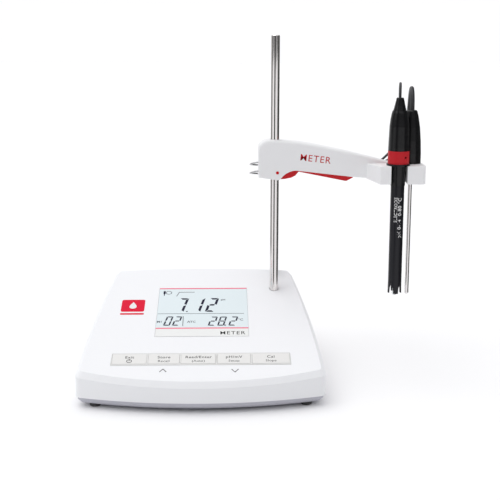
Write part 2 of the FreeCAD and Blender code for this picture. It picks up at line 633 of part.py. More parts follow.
def slot_cut(grow, z0, z1):
    """The open slot for the electrode, with a round end behind it."""
    x, y = ELECTRODE
    r = SLOT_W / 2 + grow
    open_end = box(x - r, x + r, AXIS_Y - HEAD_FRONT - 10, y, z0, z1)
    return open_end.fuse(upright(r, x, y, z0, z1))


def arm_shell():
    """White arm: a hollow beam open below, with the electrode head at its far end."""
    outline = arm_outline()
    beam = Part.Face(outline).extrude(Vector(0, ARM_W, 0))
    beam.translate(Vector(0, ARM_Y0, 0))
    crown = [e for e in beam.Edges if e.Length > 60 and e.BoundBox.ZMax > HEAD_TOP_Z + 12
             and e.BoundBox.YLength < 0.1]
    beam = beam.makeFillet(ARM_EDGE_R, crown)
    head = prism_xy(head_plan(0), HEAD_BOTTOM_Z, HEAD_TOP_Z)
    corners = [e for e in head.Edges if e.BoundBox.ZLength > 10 and e.BoundBox.XMin > AXIS_X + HEAD_REACH - 1]
    head = head.makeFillet(5.0, corners)
    tilt = box(AXIS_X, AXIS_X + 300, ARM_Y0 - 60, ARM_Y1, HEAD_BOTTOM_Z - 20, HEAD_BOTTOM_Z)
    hinge = Vector(AXIS_X, AXIS_Y - HEAD_FRONT, HEAD_BOTTOM_Z)
    tilt.rotate(hinge, Vector(1, 0, 0), 7)
    tops = [e for e in head.Edges if e.BoundBox.ZMin > HEAD_TOP_Z - 0.1 and e.BoundBox.YMin < ARM_Y1 - 1]
    head = head.makeFillet(0.8, tops).cut(tilt)
    solid = joined([beam, head])

    x = AXIS_X
    inner_y0 = ARM_Y0 + ARM_WALL
    inner_y1 = ARM_Y1 - ARM_WALL
    hollow = [(x - ARM_BACK + 12, 170), (x - ARM_BACK + 12, 206), (x + 20, ARM_TOP_Z - 6.5),
              (x + 42, ARM_TOP_Z - 9.5), (x + 67, ARM_TOP_Z - 14.5), (x + 79, ARM_TOP_Z - 18), (x + 79, 170)]
    cavity = prism_xz(hollow, inner_y0, inner_y1)
    keep = [upright(BUSH_D / 2 + 2.0, AXIS_X, AXIS_Y, BUSH_Z0, ARM_TOP_Z),
            box(x - ARM_BACK, x + PIVOT_X - EAR_R - LOOSE, inner_y0 - 1, inner_y1 + 1, 170, 193)]
    solid = solid.cut(cavity.cut(joined(keep).common(box(x - 20, x + 20, inner_y0, inner_y1, 170, 230))))

    inside = head_plan(-HEAD_WALL)
    pocket = prism_xy(inside, HEAD_BOTTOM_Z - 10, HEAD_TOP_Z - 3.0)
    ribs = [slot_cut(HEAD_WALL, 160, 220), upright(PROBE_D / 2 + 3.2, PROBE[0], PROBE[1], 160, 220)]
    solid = solid.cut(pocket.cut(Part.makeCompound(ribs)))
    cuts = [slot_cut(0.0, 160, 220), upright(PROBE_D / 2 + 0.25, PROBE[0], PROBE[1], 160, 220),
            upright(BUSH_D / 2, AXIS_X, AXIS_Y, BUSH_Z0 - 1, BUSH_Z1),
            upright(ROD_R + LOOSE, AXIS_X, AXIS_Y, 160, 230)]
    for y in (ARM_Y0 - 1, ARM_Y1 + 1):
        end = inner_y0 + 0.5 if y < AXIS_Y else inner_y1 - 0.5
        cuts.append(rod(PIN_R, (x + PIVOT_X, y, PIVOT_Z), (x + PIVOT_X, end, PIVOT_Z)))
    for wire_z in GUIDE_Z:
        wire_x = x - ARM_BACK
        cuts.append(rod(GUIDE_WIRE / 2, (wire_x - 1, AXIS_Y, wire_z), (wire_x + 8, AXIS_Y, wire_z)))
    return solid.cut(Part.makeCompound(cuts))


def lever_outline():
    """Front view of the release lever's solid middle."""
    x = AXIS_X
    nose = x + ROD_R + PAD_T + 0.1
    return [(nose, 182.0), (x + 9.9, 182.3), (x + 16.1, 183.6), (x + 19.8, 185.5), (x + 23.0, 189.4),
            (x + 68.0, 180.3), (x + 70.0, 180.2), (x + LEVER_REACH, 183.4), (x + LEVER_REACH, 186.6),
            (x + 70.0, 190.0), (x + 24.6, 196.6), (x + 10.0, 194.0), (nose, 192.0)]


def build_lever():
    """Red release lever with its brake pad, on two stub pins, pushed down by a spring."""
    y0 = AXIS_Y - LEVER_W / 2
    y1 = AXIS_Y + LEVER_W / 2
    bar = prism_xz(lever_outline(), y0, y1)
    px = AXIS_X + PIVOT_X
    ears = []
    for start in (y0, y1 - EAR_T):
        disc = rod(EAR_R, (px, start, PIVOT_Z), (px, start + EAR_T, PIVOT_Z))
        web = box(px, AXIS_X + 9, start, start + EAR_T, PIVOT_Z - EAR_R, PIVOT_Z + EAR_R)
        ears += [disc, web]
    lever = joined([bar] + ears)
    lever = lever.cut(rod(PIN_R + RUN_FIT, (px, y0 - 1, PIVOT_Z), (px, y0 + EAR_T + 0.1, PIVOT_Z)))
    lever = lever.cut(rod(PIN_R + RUN_FIT, (px, y1 - EAR_T - 0.1, PIVOT_Z), (px, y1 + 1, PIVOT_Z)))
    seat = upright(SPRING_R + 1.0, AXIS_X + SPRING_X, AXIS_Y, SPRING_Z0, 205)
    save("release_lever", lever.cut(seat))
    pad_x = AXIS_X + ROD_R + 0.1
    save("brake_pad", box(pad_x, pad_x + PAD_T, AXIS_Y - 3.2, AXIS_Y + 3.2, 182.4, 187.0))
    pins = []
    for inner, outer in ((y0 + EAR_T, ARM_Y0 - 0.3), (y1 - EAR_T, ARM_Y1 + 0.3)):
        pins.append(rod(PIN_R, (px, outer, PIVOT_Z), (px, inner, PIVOT_Z)))
    save("pivot_pins", *pins)
    top = ARM_TOP_Z - 8.2
    height = top - SPRING_Z0 - SPRING_WIRE
    coil_r = SPRING_R - SPRING_WIRE / 2
    helix = Part.makeHelix(height / SPRING_TURNS, height, coil_r)
    section = Part.Wire(Part.makeCircle(SPRING_WIRE / 2, Vector(coil_r, 0, 0), Vector(0, 1, 0)))
    spring = helix.makePipeShell([section], True, True)
    spring.translate(Vector(AXIS_X + SPRING_X, AXIS_Y, SPRING_Z0 + SPRING_WIRE / 2))
    save("lever_spring", spring)


def build_arm():
    """Arm shell, rod bush, cable guides and cable clip."""
    save("arm_shell", arm_shell())
    bush = turned([(ROD_R + RUN_FIT, BUSH_Z0), (BUSH_D / 2, BUSH_Z0), (BUSH_D / 2, BUSH_Z1),
                   (ROD_R + RUN_FIT, BUSH_Z1)], AXIS_X, AXIS_Y)
    save("rod_bush", bush)
    left = AXIS_X - ARM_BACK
    y = AXIS_Y
    guides = []
    for z in GUIDE_Z:
        bends = [(left + 8, y, z), (left - 1, y, z), (left - 7, y + 3, z - 2.4), (left - 8, y + 14, z - 4.5),
                 (left - 3, y + 25, z - 6.5), (left + 9, y + 29.5, z - 7.5), (left + 21, y + 29, z - 7.5)]
        guides.append(tube("wire guide", bends, GUIDE_WIRE))
    save("cable_guides", *guides)
    x = AXIS_X + CLIP_REACH
    clip = box(x, x + CLIP_T, ARM_Y1, ARM_Y1 + CLIP_HOLES[1] + 4.5, CLIP_Z - 4.3, CLIP_Z + 4.7)
    for behind, diameter in zip(CLIP_HOLES, (PH_CABLE_D, TEMP_CABLE_D)):
        hole_y = ARM_Y1 + behind
        clip = clip.cut(rod(diameter / 2 + 0.6, (x - 1, hole_y, CLIP_Z), (x + CLIP_T + 1, hole_y, CLIP_Z)))
    save("cable_clip", clip)


# ================================================================ electrode
def build_electrode():
    """Combination pH electrode, from its cap down to the glass bulb."""
    x, y = ELECTRODE
    top = HEAD_TOP_Z
    r = CAP_D / 2
    cap = turned([(0, CAP_Z0), (r, CAP_Z0), (r, CAP_Z0 + 3), (r - 0.65, CAP_Z0 + 23), (r - 1.4, CAP_Z0 + 30),
                  (r - 2.5, CAP_Z0 + 36), (r - 3.4, CAP_TOP_Z), (0, CAP_TOP_Z)], x, y)
    save("electrode_cap", cap)
    relief = turned([(0, CAP_TOP_Z), (6.0, CAP_TOP_Z), (3.5, RELIEF_TOP_Z - 0.6), (3.0, RELIEF_TOP_Z),
                     (0, RELIEF_TOP_Z)], x, y)
    save("electrode_strain_relief", relief)
    inner_r = NECK_D / 2 + 0.08
    low = SLEEVE_Z0 + 0.05
    high = CAP_Z0 - 0.05
    sleeve = turned([(inner_r, low), (SLEEVE_D / 2, low), (SLEEVE_D / 2, high), (inner_r, high)], x, y)
    hole_z = SLEEVE_Z0 + SLEEVE_H * 0.52
    aim = Vector(math.cos(math.radians(REFILL_DEG)), math.sin(math.radians(REFILL_DEG)), 0)
    hole = Part.makeCylinder(REFILL_D / 2, SLEEVE_D, Vector(x, y, hole_z), aim)
    save("refill_sleeve", sleeve.cut(hole))
    neck = turned([(0, top), (FLANGE_D / 2, top), (FLANGE_D / 2, SLEEVE_Z0), (NECK_D / 2, SLEEVE_Z0),
                   (NECK_D / 2, CAP_Z0), (0, CAP_Z0)], x, y)
    collar = turned([(0, top - COLLAR_H), (6.9, top - COLLAR_H), (COLLAR_D / 2, top), (0, top)], x, y)
    opening = Part.makeCylinder(REFILL_D / 2, SLEEVE_D, Vector(x, y, hole_z), aim)
    body = joined([neck, collar]).cut(opening.common(upright(50, x, y, top, CAP_Z0)))
    bore = BARREL_D / 2 - BARREL_WALL
    body = body.cut(upright(bore, x, y, top - COLLAR_H - 1, CAP_Z0 - 8))
    save("electrode_collar", body)
    z_top = top - COLLAR_H
    z_low = GUARD_TOP_Z + 6
    barrel = turned([(bore, z_low), (BARREL_D / 2, z_low), (BARREL_D / 2, z_top), (bore, z_top)], x, y)
    save("electrode_barrel", barrel)
    guard = turned([(bore, GUARD_TIP_Z), (BARREL_D / 2 + 0.15, GUARD_TIP_Z), (BARREL_D / 2, GUARD_TOP_Z),
                    (BARREL_D / 2, GUARD_TOP_Z + 6), (bore, GUARD_TOP_Z + 6)], x, y)
    for step in range(4):
        notch = prism_xz([(x - 2.9, GUARD_TIP_Z - 2), (x - 2.4, GUARD_TIP_Z + 5), (x, GUARD_TOP_Z - 0.5),
                          (x + 2.4, GUARD_TIP_Z + 5), (x + 2.9, GUARD_TIP_Z - 2)], y, y + 20)
        notch.rotate(Vector(x, y, 0), Vector(0, 0, 1), 45 + 90 * step)
        guard = guard.cut(notch)
    save("electrode_guard", guard)
    stem_r = 2.2
    stem_low = BULB_TIP_Z + BULB_D
    stem = upright(stem_r, x, y, stem_low - 0.6, top - COLLAR_H + 12)
    ball = Part.makeSphere(BULB_D / 2, Vector(x, y, BULB_TIP_Z + BULB_D / 2))
    save("glass_bulb", joined([stem, ball]))
    collar_ring = turned([(stem_r + 0.02, GUARD_TOP_Z + 1), (bore, GUARD_TOP_Z + 1), (bore, GUARD_TOP_Z + 5),
                          (stem_r + 0.02, GUARD_TOP_Z + 5)], x, y)
    save("reference_junction", collar_ring)


def build_probe():
    """Temperature probe: moulded cap, steel tube and the sensor in its tip."""
    x, y = PROBE
    z = HEAD_TOP_Z
    r = PROBE_CAP_D / 2
    cap = turned([(0, z), (r, z), (r, z + 10), (r - 0.5, z + 22), (r - 1.6, z + 35), (r - 3.2, z + 45),
                  (r - 4.6, PROBE_CAP_TOP_Z - 1), (r - 5.6, PROBE_CAP_TOP_Z), (0, PROBE_CAP_TOP_Z)], x, y)
    save("probe_cap", cap.cut(upright(PROBE_D / 2, x, y, z - 1, z + 15)))
    outer = PROBE_D / 2
    inner = outer - PROBE_WALL
    low = PROBE_TIP_Z + outer
    shaft = turned([(inner, low), (outer, low), (outer, z + 15), (inner, z + 15)], x, y)
    ball = Part.makeSphere(outer, Vector(x, y, PROBE_TIP_Z + outer))
    tip = ball.common(upright(outer + 1, x, y, PROBE_TIP_Z - 1, PROBE_TIP_Z + outer))
    tip = tip.cut(Part.makeSphere(inner, Vector(x, y, PROBE_TIP_Z + outer)))
    save("probe_tube", joined([shaft, tip]))
    save("temperature_sensor", upright(inner - 0.3, x, y, PROBE_TIP_Z + outer, PROBE_TIP_Z + 12))


# ================================================================ plugs and cables
PH_UPPER = [(136.0, 28.75, 262.5), (136.0, 28.75, 271.0), (138.5, 42.0, 276.5), (142.0, 62.0, 271.0),
            (145.0, 76.0, 253.0), (146.0, 79.0, 231.0), (142.0, 77.0, 209.0), (119.0, 67.0, 190.5),
            (88.0, 66.0, 189.6), (55.0, 67.2, 191.2), (34.0, 67.6, 190.0), (20.2, 67.6, 180.0),
            (20.2, 67.6, 166.0)]
PH_RISER = [(20.2, 67.6, 166.0), (20.2, 67.6, 150.0), (20.0, 69.0, 136.0), (20.2, 67.6, 122.0),
            (20.2, 67.6, 106.0)]
PH_TAIL = [(20.2, 67.6, 106.0), (20.2, 67.6, 96.0), (18.6, 77.5, 90.0), (18.0, 91.0, 88.5),
           (17.2, 101.5, 79.0), (14.5, 104.5, 63.0), (5.0, 103.5, 50.5), (-8.0, 102.5, 45.5),
           (-19.0, 103.5, 36.0), (-26.0, 105.0, 22.0), (-34.0, 107.0, 9.5), (-44.0, 108.4, 4.2)]
PH_LEAD = [(-36.8, 120.5, 34.0), (-36.8, 132.0, 34.0), (-36.8, 142.5, 28.5), (-37.5, 148.0, 18.0),
           (-38.5, 147.0, 8.0), (-43.0, 139.5, 3.6), (-50.0, 135.7, 3.2)]
TEMP_UPPER = [(151.0, 43.75, 249.5), (151.0, 43.75, 261.5), (153.0, 58.0, 271.0), (156.5, 80.0, 266.0),
              (158.5, 95.0, 246.0), (158.0, 97.0, 224.0), (153.0, 90.0, 202.0), (124.0, 74.5, 189.8),
              (90.0, 72.3, 189.6), (57.0, 73.4, 191.4), (34.0, 74.0, 190.5), (20.6, 74.0, 180.0),
              (20.6, 74.0, 166.0)]
TEMP_RISER = [(20.6, 74.0, 166.0), (20.6, 74.0, 150.0), (20.8, 75.0, 136.0), (20.6, 74.0, 122.0),
              (20.6, 74.0, 106.0)]
TEMP_TAIL = [(20.6, 74.0, 106.0), (20.6, 74.0, 98.5), (21.3, 78.5, 93.0), (22.3, 87.5, 90.8),
             (22.9, 97.5, 89.0), (23.8, 109.0, 78.0), (25.5, 112.0, 58.0), (27.0, 109.0, 35.0),
             (25.0, 105.0, 15.0), (14.0, 103.2, 5.6)]
TEMP_LEAD = [(0.2, 112.5, 34.0), (0.2, 128.0, 34.0), (-0.2, 143.5, 33.0), (-7.5, 153.0, 19.0),
             (-14.8, 144.0, 5.2), (-15.0, 127.4, 5.2)]


def plug(x, end, radii, z=SOCKET_Z):
    """A cable plug pushed onto a rear socket: coupling sleeve, body and strain relief."""
    socket_r, sleeve_r, body_r, tail_r = radii
    y = PANEL_Y + 3.0
    hollow = BACK_Y + REAR_REACH + 0.3
    profile = [(socket_r + 0.1, y), (sleeve_r, y), (sleeve_r, y + 14), (body_r, y + 15), (body_r, end - 14),
               (tail_r + 1.5, end - 13), (tail_r, end), (0, end), (0, hollow), (socket_r + 0.1, hollow)]
    return on_body(turned_back(profile, x, z))


def coil_solid(at, radius, across, height):
    """The outer shape of a tied coil of cable."""
    low = COIL_LIFT
    inner = radius - across / 2
    outer = radius + across / 2
    return turned([(inner, low), (outer, low), (outer, low + height), (inner, low + height)], at[0], at[1])


def coil_tie(at, radius, across, height):
    """A band round the bundle on the coil's right-hand side."""
    x = at[0] + radius
    half = across / 2 + 0.5
    low = COIL_LIFT - 0.1
    outer = box(x - half - 0.6, x + half + 0.6, at[1] - 2.5, at[1] + 2.5, 0.0, low + height + 0.8)
    return outer.cut(box(x - half, x + half, at[1] - 3, at[1] + 3, low, low + height + 0.2))


def build_cables():
    """Both cables as plain tubes and coils, with the plugs and ties that are on them."""
    save("ph_plug", plug(PH_SOCKET_X, 125.0, (5.7, 7.4, 5.6, 2.2)))
    save("temp_plug", plug(TEMP_SOCKET_X, 117.0, (4.2, 5.6, 5.0, 3.0)))
    stretches = ("upper", "riser", "tail", "lead")
    for part, points in zip(stretches, (PH_UPPER, PH_RISER, PH_TAIL, PH_LEAD)):
        save("ph_cable_" + part, tube("ph_cable_" + part, points, PH_CABLE_D))
    for part, points in zip(stretches, (TEMP_UPPER, TEMP_RISER, TEMP_TAIL, TEMP_LEAD)):
        save("temp_cable_" + part, tube("temp_cable_" + part, points, TEMP_CABLE_D))
    ph_size = (3 * PH_CABLE_D, 2 * PH_CABLE_D)
    temp_size = (2 * TEMP_CABLE_D, 2 * TEMP_CABLE_D)
    save("ph_cable_coil", coil_solid(PH_COIL_AT, PH_COIL_R, *ph_size))
    save("temp_cable_coil", coil_solid(TEMP_COIL_AT, TEMP_COIL_R, *temp_size))
    ties = [coil_tie(PH_COIL_AT, PH_COIL_R, *ph_size), coil_tie(TEMP_COIL_AT, TEMP_COIL_R, *temp_size)]
    save("coil_ties", *ties)


def main():
    """Build every piece."""
    os.makedirs("parts", exist_ok=True)
    build_housing()
    build_display()
    build_keypad()
    build_electronics()
    build_small_screws()
    build_rear()
    build_rod()
    build_arm()
    build_lever()
    build_electrode()
    build_probe()
    build_cables()
    print("housing middle at %.2f %.2f, rod at %.2f %.2f" % (BODY_X, BODY_Y, AXIS_X, AXIS_Y))


main()
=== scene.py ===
"""Looks of a bench pH meter with its electrode arm, pH electrode, temperature probe and cables.

Metres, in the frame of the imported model: +Z up from the table, -Y towards the person who reads
the display, +X towards the electrode. Each sub-assembly is a class that dresses its carried parts
and builds the pieces that only the looks need.
"""

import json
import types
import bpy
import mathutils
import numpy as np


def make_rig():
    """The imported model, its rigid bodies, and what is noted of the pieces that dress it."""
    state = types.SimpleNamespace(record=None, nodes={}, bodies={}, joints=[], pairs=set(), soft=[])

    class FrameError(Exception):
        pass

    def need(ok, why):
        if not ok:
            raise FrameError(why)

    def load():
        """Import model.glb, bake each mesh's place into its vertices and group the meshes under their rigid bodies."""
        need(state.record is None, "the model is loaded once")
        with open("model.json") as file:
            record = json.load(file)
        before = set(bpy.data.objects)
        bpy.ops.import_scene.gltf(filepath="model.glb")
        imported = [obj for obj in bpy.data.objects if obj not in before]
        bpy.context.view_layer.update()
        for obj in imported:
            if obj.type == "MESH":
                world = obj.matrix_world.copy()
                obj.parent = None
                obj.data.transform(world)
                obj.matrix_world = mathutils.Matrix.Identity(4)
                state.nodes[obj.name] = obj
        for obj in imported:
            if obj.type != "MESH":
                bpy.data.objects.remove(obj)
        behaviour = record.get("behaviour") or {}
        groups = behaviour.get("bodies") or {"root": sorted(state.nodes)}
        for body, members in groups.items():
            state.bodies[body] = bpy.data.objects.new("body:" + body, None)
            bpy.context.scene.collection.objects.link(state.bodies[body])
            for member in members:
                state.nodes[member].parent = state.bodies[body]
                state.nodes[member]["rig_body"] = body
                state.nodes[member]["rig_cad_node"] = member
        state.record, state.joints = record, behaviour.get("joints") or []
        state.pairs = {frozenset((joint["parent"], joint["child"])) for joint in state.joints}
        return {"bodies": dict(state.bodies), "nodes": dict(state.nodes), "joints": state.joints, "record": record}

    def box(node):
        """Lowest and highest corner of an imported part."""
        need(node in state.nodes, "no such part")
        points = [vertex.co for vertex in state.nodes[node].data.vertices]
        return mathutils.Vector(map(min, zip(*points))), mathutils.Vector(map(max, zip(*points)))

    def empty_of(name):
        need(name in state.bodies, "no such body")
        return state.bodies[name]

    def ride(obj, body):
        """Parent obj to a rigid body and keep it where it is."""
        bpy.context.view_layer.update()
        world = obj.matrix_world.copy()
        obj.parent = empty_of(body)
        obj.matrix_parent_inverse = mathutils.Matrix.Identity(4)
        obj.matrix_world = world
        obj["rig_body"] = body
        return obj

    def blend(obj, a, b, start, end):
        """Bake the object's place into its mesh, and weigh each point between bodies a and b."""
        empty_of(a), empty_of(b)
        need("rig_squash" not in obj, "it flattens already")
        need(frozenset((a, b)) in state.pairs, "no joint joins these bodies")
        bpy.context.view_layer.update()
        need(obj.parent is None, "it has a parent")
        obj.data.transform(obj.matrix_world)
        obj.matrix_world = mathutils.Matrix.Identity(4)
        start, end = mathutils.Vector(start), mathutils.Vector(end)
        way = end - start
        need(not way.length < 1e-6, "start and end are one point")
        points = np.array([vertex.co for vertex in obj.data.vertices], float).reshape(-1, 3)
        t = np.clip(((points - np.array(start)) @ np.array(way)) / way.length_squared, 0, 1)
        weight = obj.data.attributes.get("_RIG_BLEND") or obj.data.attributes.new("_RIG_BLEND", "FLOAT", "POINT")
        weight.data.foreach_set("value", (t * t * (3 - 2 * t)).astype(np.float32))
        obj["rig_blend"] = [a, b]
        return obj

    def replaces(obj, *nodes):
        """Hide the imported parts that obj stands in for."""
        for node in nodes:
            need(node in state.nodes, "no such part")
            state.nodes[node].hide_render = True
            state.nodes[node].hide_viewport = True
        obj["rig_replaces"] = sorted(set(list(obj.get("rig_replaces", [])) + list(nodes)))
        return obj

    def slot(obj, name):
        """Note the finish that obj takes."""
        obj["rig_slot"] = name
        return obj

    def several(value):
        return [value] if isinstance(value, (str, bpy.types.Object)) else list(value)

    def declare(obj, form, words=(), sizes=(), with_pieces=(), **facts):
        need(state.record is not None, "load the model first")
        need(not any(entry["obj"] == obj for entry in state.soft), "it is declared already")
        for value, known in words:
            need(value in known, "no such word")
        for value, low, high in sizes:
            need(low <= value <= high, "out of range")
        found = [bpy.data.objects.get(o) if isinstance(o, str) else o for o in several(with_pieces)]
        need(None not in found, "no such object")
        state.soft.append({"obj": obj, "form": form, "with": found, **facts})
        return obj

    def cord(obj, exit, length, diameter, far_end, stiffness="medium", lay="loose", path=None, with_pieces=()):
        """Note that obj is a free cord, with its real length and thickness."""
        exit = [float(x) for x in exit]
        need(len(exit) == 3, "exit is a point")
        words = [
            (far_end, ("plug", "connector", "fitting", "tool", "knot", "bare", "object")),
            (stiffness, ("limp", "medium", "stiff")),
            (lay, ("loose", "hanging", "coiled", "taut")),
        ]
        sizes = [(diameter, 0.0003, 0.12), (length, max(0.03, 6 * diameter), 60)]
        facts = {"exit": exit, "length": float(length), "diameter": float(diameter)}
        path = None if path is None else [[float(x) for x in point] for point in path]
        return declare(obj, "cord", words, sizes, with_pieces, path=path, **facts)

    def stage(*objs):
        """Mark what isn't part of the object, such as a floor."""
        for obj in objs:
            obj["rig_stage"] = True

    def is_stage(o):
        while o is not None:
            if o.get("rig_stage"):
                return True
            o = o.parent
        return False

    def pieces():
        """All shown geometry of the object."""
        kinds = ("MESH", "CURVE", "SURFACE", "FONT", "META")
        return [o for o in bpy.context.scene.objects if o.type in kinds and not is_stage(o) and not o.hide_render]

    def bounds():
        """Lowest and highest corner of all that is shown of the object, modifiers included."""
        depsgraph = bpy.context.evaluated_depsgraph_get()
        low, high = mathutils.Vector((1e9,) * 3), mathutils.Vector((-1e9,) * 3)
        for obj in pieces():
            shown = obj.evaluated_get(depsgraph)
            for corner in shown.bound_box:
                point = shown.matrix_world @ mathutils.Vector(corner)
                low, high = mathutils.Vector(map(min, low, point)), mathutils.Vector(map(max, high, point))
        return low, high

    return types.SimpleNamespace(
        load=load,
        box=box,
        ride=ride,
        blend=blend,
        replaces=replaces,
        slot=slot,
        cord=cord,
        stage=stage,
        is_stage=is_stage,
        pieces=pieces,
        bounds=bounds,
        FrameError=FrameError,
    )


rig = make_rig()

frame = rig.load()
CAD_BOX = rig.bounds()

import json
import logging
import math
from dataclasses import dataclass, field
from enum import Enum
from typing import Any, Callable, Optional, Sequence

import bmesh
import bpy
from mathutils import Matrix, Vector

LOG = logging.getLogger("ph_meter")
MM = 0.001
INK_MM = 0.02
EMBLEM_MM = 0.03
KEY_MARK_LIFT = 0.16
Point = tuple[float, float, float]
Flat = tuple[float, float]
Colour = tuple[float, float, float]


def metres(points: Sequence[Point]) -> list[Vector]:
    """Turn points given in millimetres into vectors in metres."""
    return [Vector(point) * MM for point in points]


def linked(name: str, data: bpy.types.ID) -> bpy.types.Object:
    """A new object with the given data, linked to the scene."""
    thing = bpy.data.objects.new(name, data)
    bpy.context.scene.collection.objects.link(thing)
    return thing


def evaluated(thing: bpy.types.Object) -> bpy.types.Mesh:
    """A plain mesh of what an object's curve or modifiers make."""
    bpy.context.view_layer.update()
    graph = bpy.context.evaluated_depsgraph_get()
    return bpy.data.meshes.new_from_object(thing.evaluated_get(graph))


# ---------------------------------------------------------------- shader building
class Value:
    """A number socket that takes part in Python expressions."""

    def __init__(self, tree: bpy.types.NodeTree, socket: bpy.types.NodeSocket) -> None:
        """Wrap one output socket of a tree."""
        self.tree = tree
        self.socket = socket

    def _math(self, operation: str, first: Any, second: Any) -> "Value":
        """Add one Math node.

        Args:
            operation: the Math node's operation.
            first: a number or a Value.
            second: a number or a Value.

        Returns:
            The node's result.
        """
        node = self.tree.nodes.new("ShaderNodeMath")
        node.operation = operation
        for slot, value in zip(node.inputs, (first, second)):
            if isinstance(value, Value):
                self.tree.links.new(value.socket, slot)
            else:
                slot.default_value = value
        return Value(self.tree, node.outputs[0])

    def __add__(self, other: Any) -> "Value":
        """Sum."""
        return self._math("ADD", self, other)

    def __radd__(self, other: Any) -> "Value":
        """Sum, reflected."""
        return self._math("ADD", other, self)

    def __sub__(self, other: Any) -> "Value":
        """Difference."""
        return self._math("SUBTRACT", self, other)

    def __rsub__(self, other: Any) -> "Value":
        """Difference, reflected."""
        return self._math("SUBTRACT", other, self)

    def __mul__(self, other: Any) -> "Value":
        """Product."""
        return self._math("MULTIPLY", self, other)

    def __rmul__(self, other: Any) -> "Value":
        """Product, reflected."""
        return self._math("MULTIPLY", other, self)

    def __gt__(self, other: Any) -> "Value":
        """1 where this is the larger."""
        return self._math("GREATER_THAN", self, other)

    def __lt__(self, other: Any) -> "Value":
        """1 where this is the smaller."""
        return self._math("LESS_THAN", self, other)

    def __abs__(self) -> "Value":
        """Size without sign."""
        return self._math("ABSOLUTE", self, 0.0)


class Paint:
    """One material's node tree."""

    def __init__(self, name: str) -> None:
        """Start an empty tree with its output.

        Args:
            name: the material's name.
        """
        self.material = bpy.data.materials.new(name)
        self.material.use_nodes = True
        self.tree = self.material.node_tree
        self.tree.nodes.clear()

    def node(self, kind: str, settings: Optional[dict] = None,
             inputs: Optional[dict] = None) -> bpy.types.Node:
        """Add any node.

        Args:
            kind: the node's type.
            settings: properties set first; "stops" holds a ramp's positions and colours.
            inputs: values, Values or output sockets, by socket name or number.

        Returns:
            The node.
        """
        node = self.tree.nodes.new(kind)
        for name, value in (settings or {}).items():
            if name == "stops":
                ramp = node.color_ramp
                while len(ramp.elements) < len(value):
                    ramp.elements.new(0.5)
                for element, (position, colour) in zip(ramp.elements, value):
                    element.position = position
                    element.color = (*colour, 1.0)
            else:
                setattr(node, name, value)
        for name, value in (inputs or {}).items():
            slot = node.inputs[name]
            if isinstance(value, Value):
                self.tree.links.new(value.socket, slot)
            elif isinstance(value, bpy.types.NodeSocket):
                self.tree.links.new(value, slot)
            else:
                slot.default_value = value
        return node

    def place(self, scale: Point = (1.0, 1.0, 1.0)) -> bpy.types.NodeSocket:
        """Object coordinates, stretched by scale."""
        coords = self.node("ShaderNodeTexCoord")
        mapping = self.node("ShaderNodeMapping", None,
                            {"Vector": coords.outputs["Object"], "Scale": scale})
        return mapping.outputs["Vector"]

    def noise(self, scale: float, detail: float = 2.0, stretch: Point = (1.0, 1.0, 1.0),
              roughness: float = 0.5) -> Value:
        """A noise between 0 and 1.

        Args:
            scale: features per metre.
            detail: octaves.
            stretch: scale of each axis.
            roughness: weight of the finer octaves.

        Returns:
            The noise factor.
        """
        node = self.node("ShaderNodeTexNoise", None,
                         {"Vector": self.place(stretch), "Scale": scale, "Detail": detail,
                          "Roughness": roughness})
        return Value(self.tree, node.outputs["Fac"])

    def axis(self, index: int) -> Value:
        """One Object coordinate, in metres: 0 is X, 1 is Y and 2 is Z."""
        split = self.node("ShaderNodeSeparateXYZ", None, {0: self.place()})
        return Value(self.tree, split.outputs[index])

    def mix(self, factor: Any, low: Any, high: Any) -> bpy.types.NodeSocket:
        """A colour between two colours.

        Args:
            factor: a number or a Value.
            low: the colour at 0.
            high: the colour at 1.

        Returns:
            The colour socket.
        """
        ends = [(*c, 1.0) if isinstance(c, tuple) and len(c) == 3 else c for c in (low, high)]
        node = self.node("ShaderNodeMix", {"data_type": "RGBA"},
                         {0: factor, 6: ends[0], 7: ends[1]})
        return node.outputs[2]

    def bump(self, height: Value, strength: float, distance: float,
             rounding: float = 0.0) -> bpy.types.NodeSocket:
        """A bumped normal, over edges rounded by the given radius.

        Args:
            height: the height, 0 to 1.
            strength: how much of it shows.
            distance: depth in metres.
            rounding: edge radius in metres, or 0 for none.

        Returns:
            The normal socket.
        """
        inputs = {"Height": height, "Strength": strength, "Distance": distance}
        if rounding:
            soft = self.node("ShaderNodeBevel", {"samples": 4}, {"Radius": rounding})
            inputs["Normal"] = soft.outputs["Normal"]
        return self.node("ShaderNodeBump", None, inputs).outputs["Normal"]

    def surface(self, **sockets: Any) -> bpy.types.Material:
        """Finish with a Principled surface.

        Args:
            **sockets: socket names, with underscores for spaces.

        Returns:
            The material.
        """
        inputs = {}
        for name, value in sockets.items():
            if isinstance(value, tuple) and len(value) == 3:
                value = (*value, 1.0)
            inputs[name.replace("_", " ")] = value
        shader = self.node("ShaderNodeBsdfPrincipled", None, inputs)
        out = self.node("ShaderNodeOutputMaterial")
        self.tree.links.new(shader.outputs[0], out.inputs["Surface"])
        return self.material


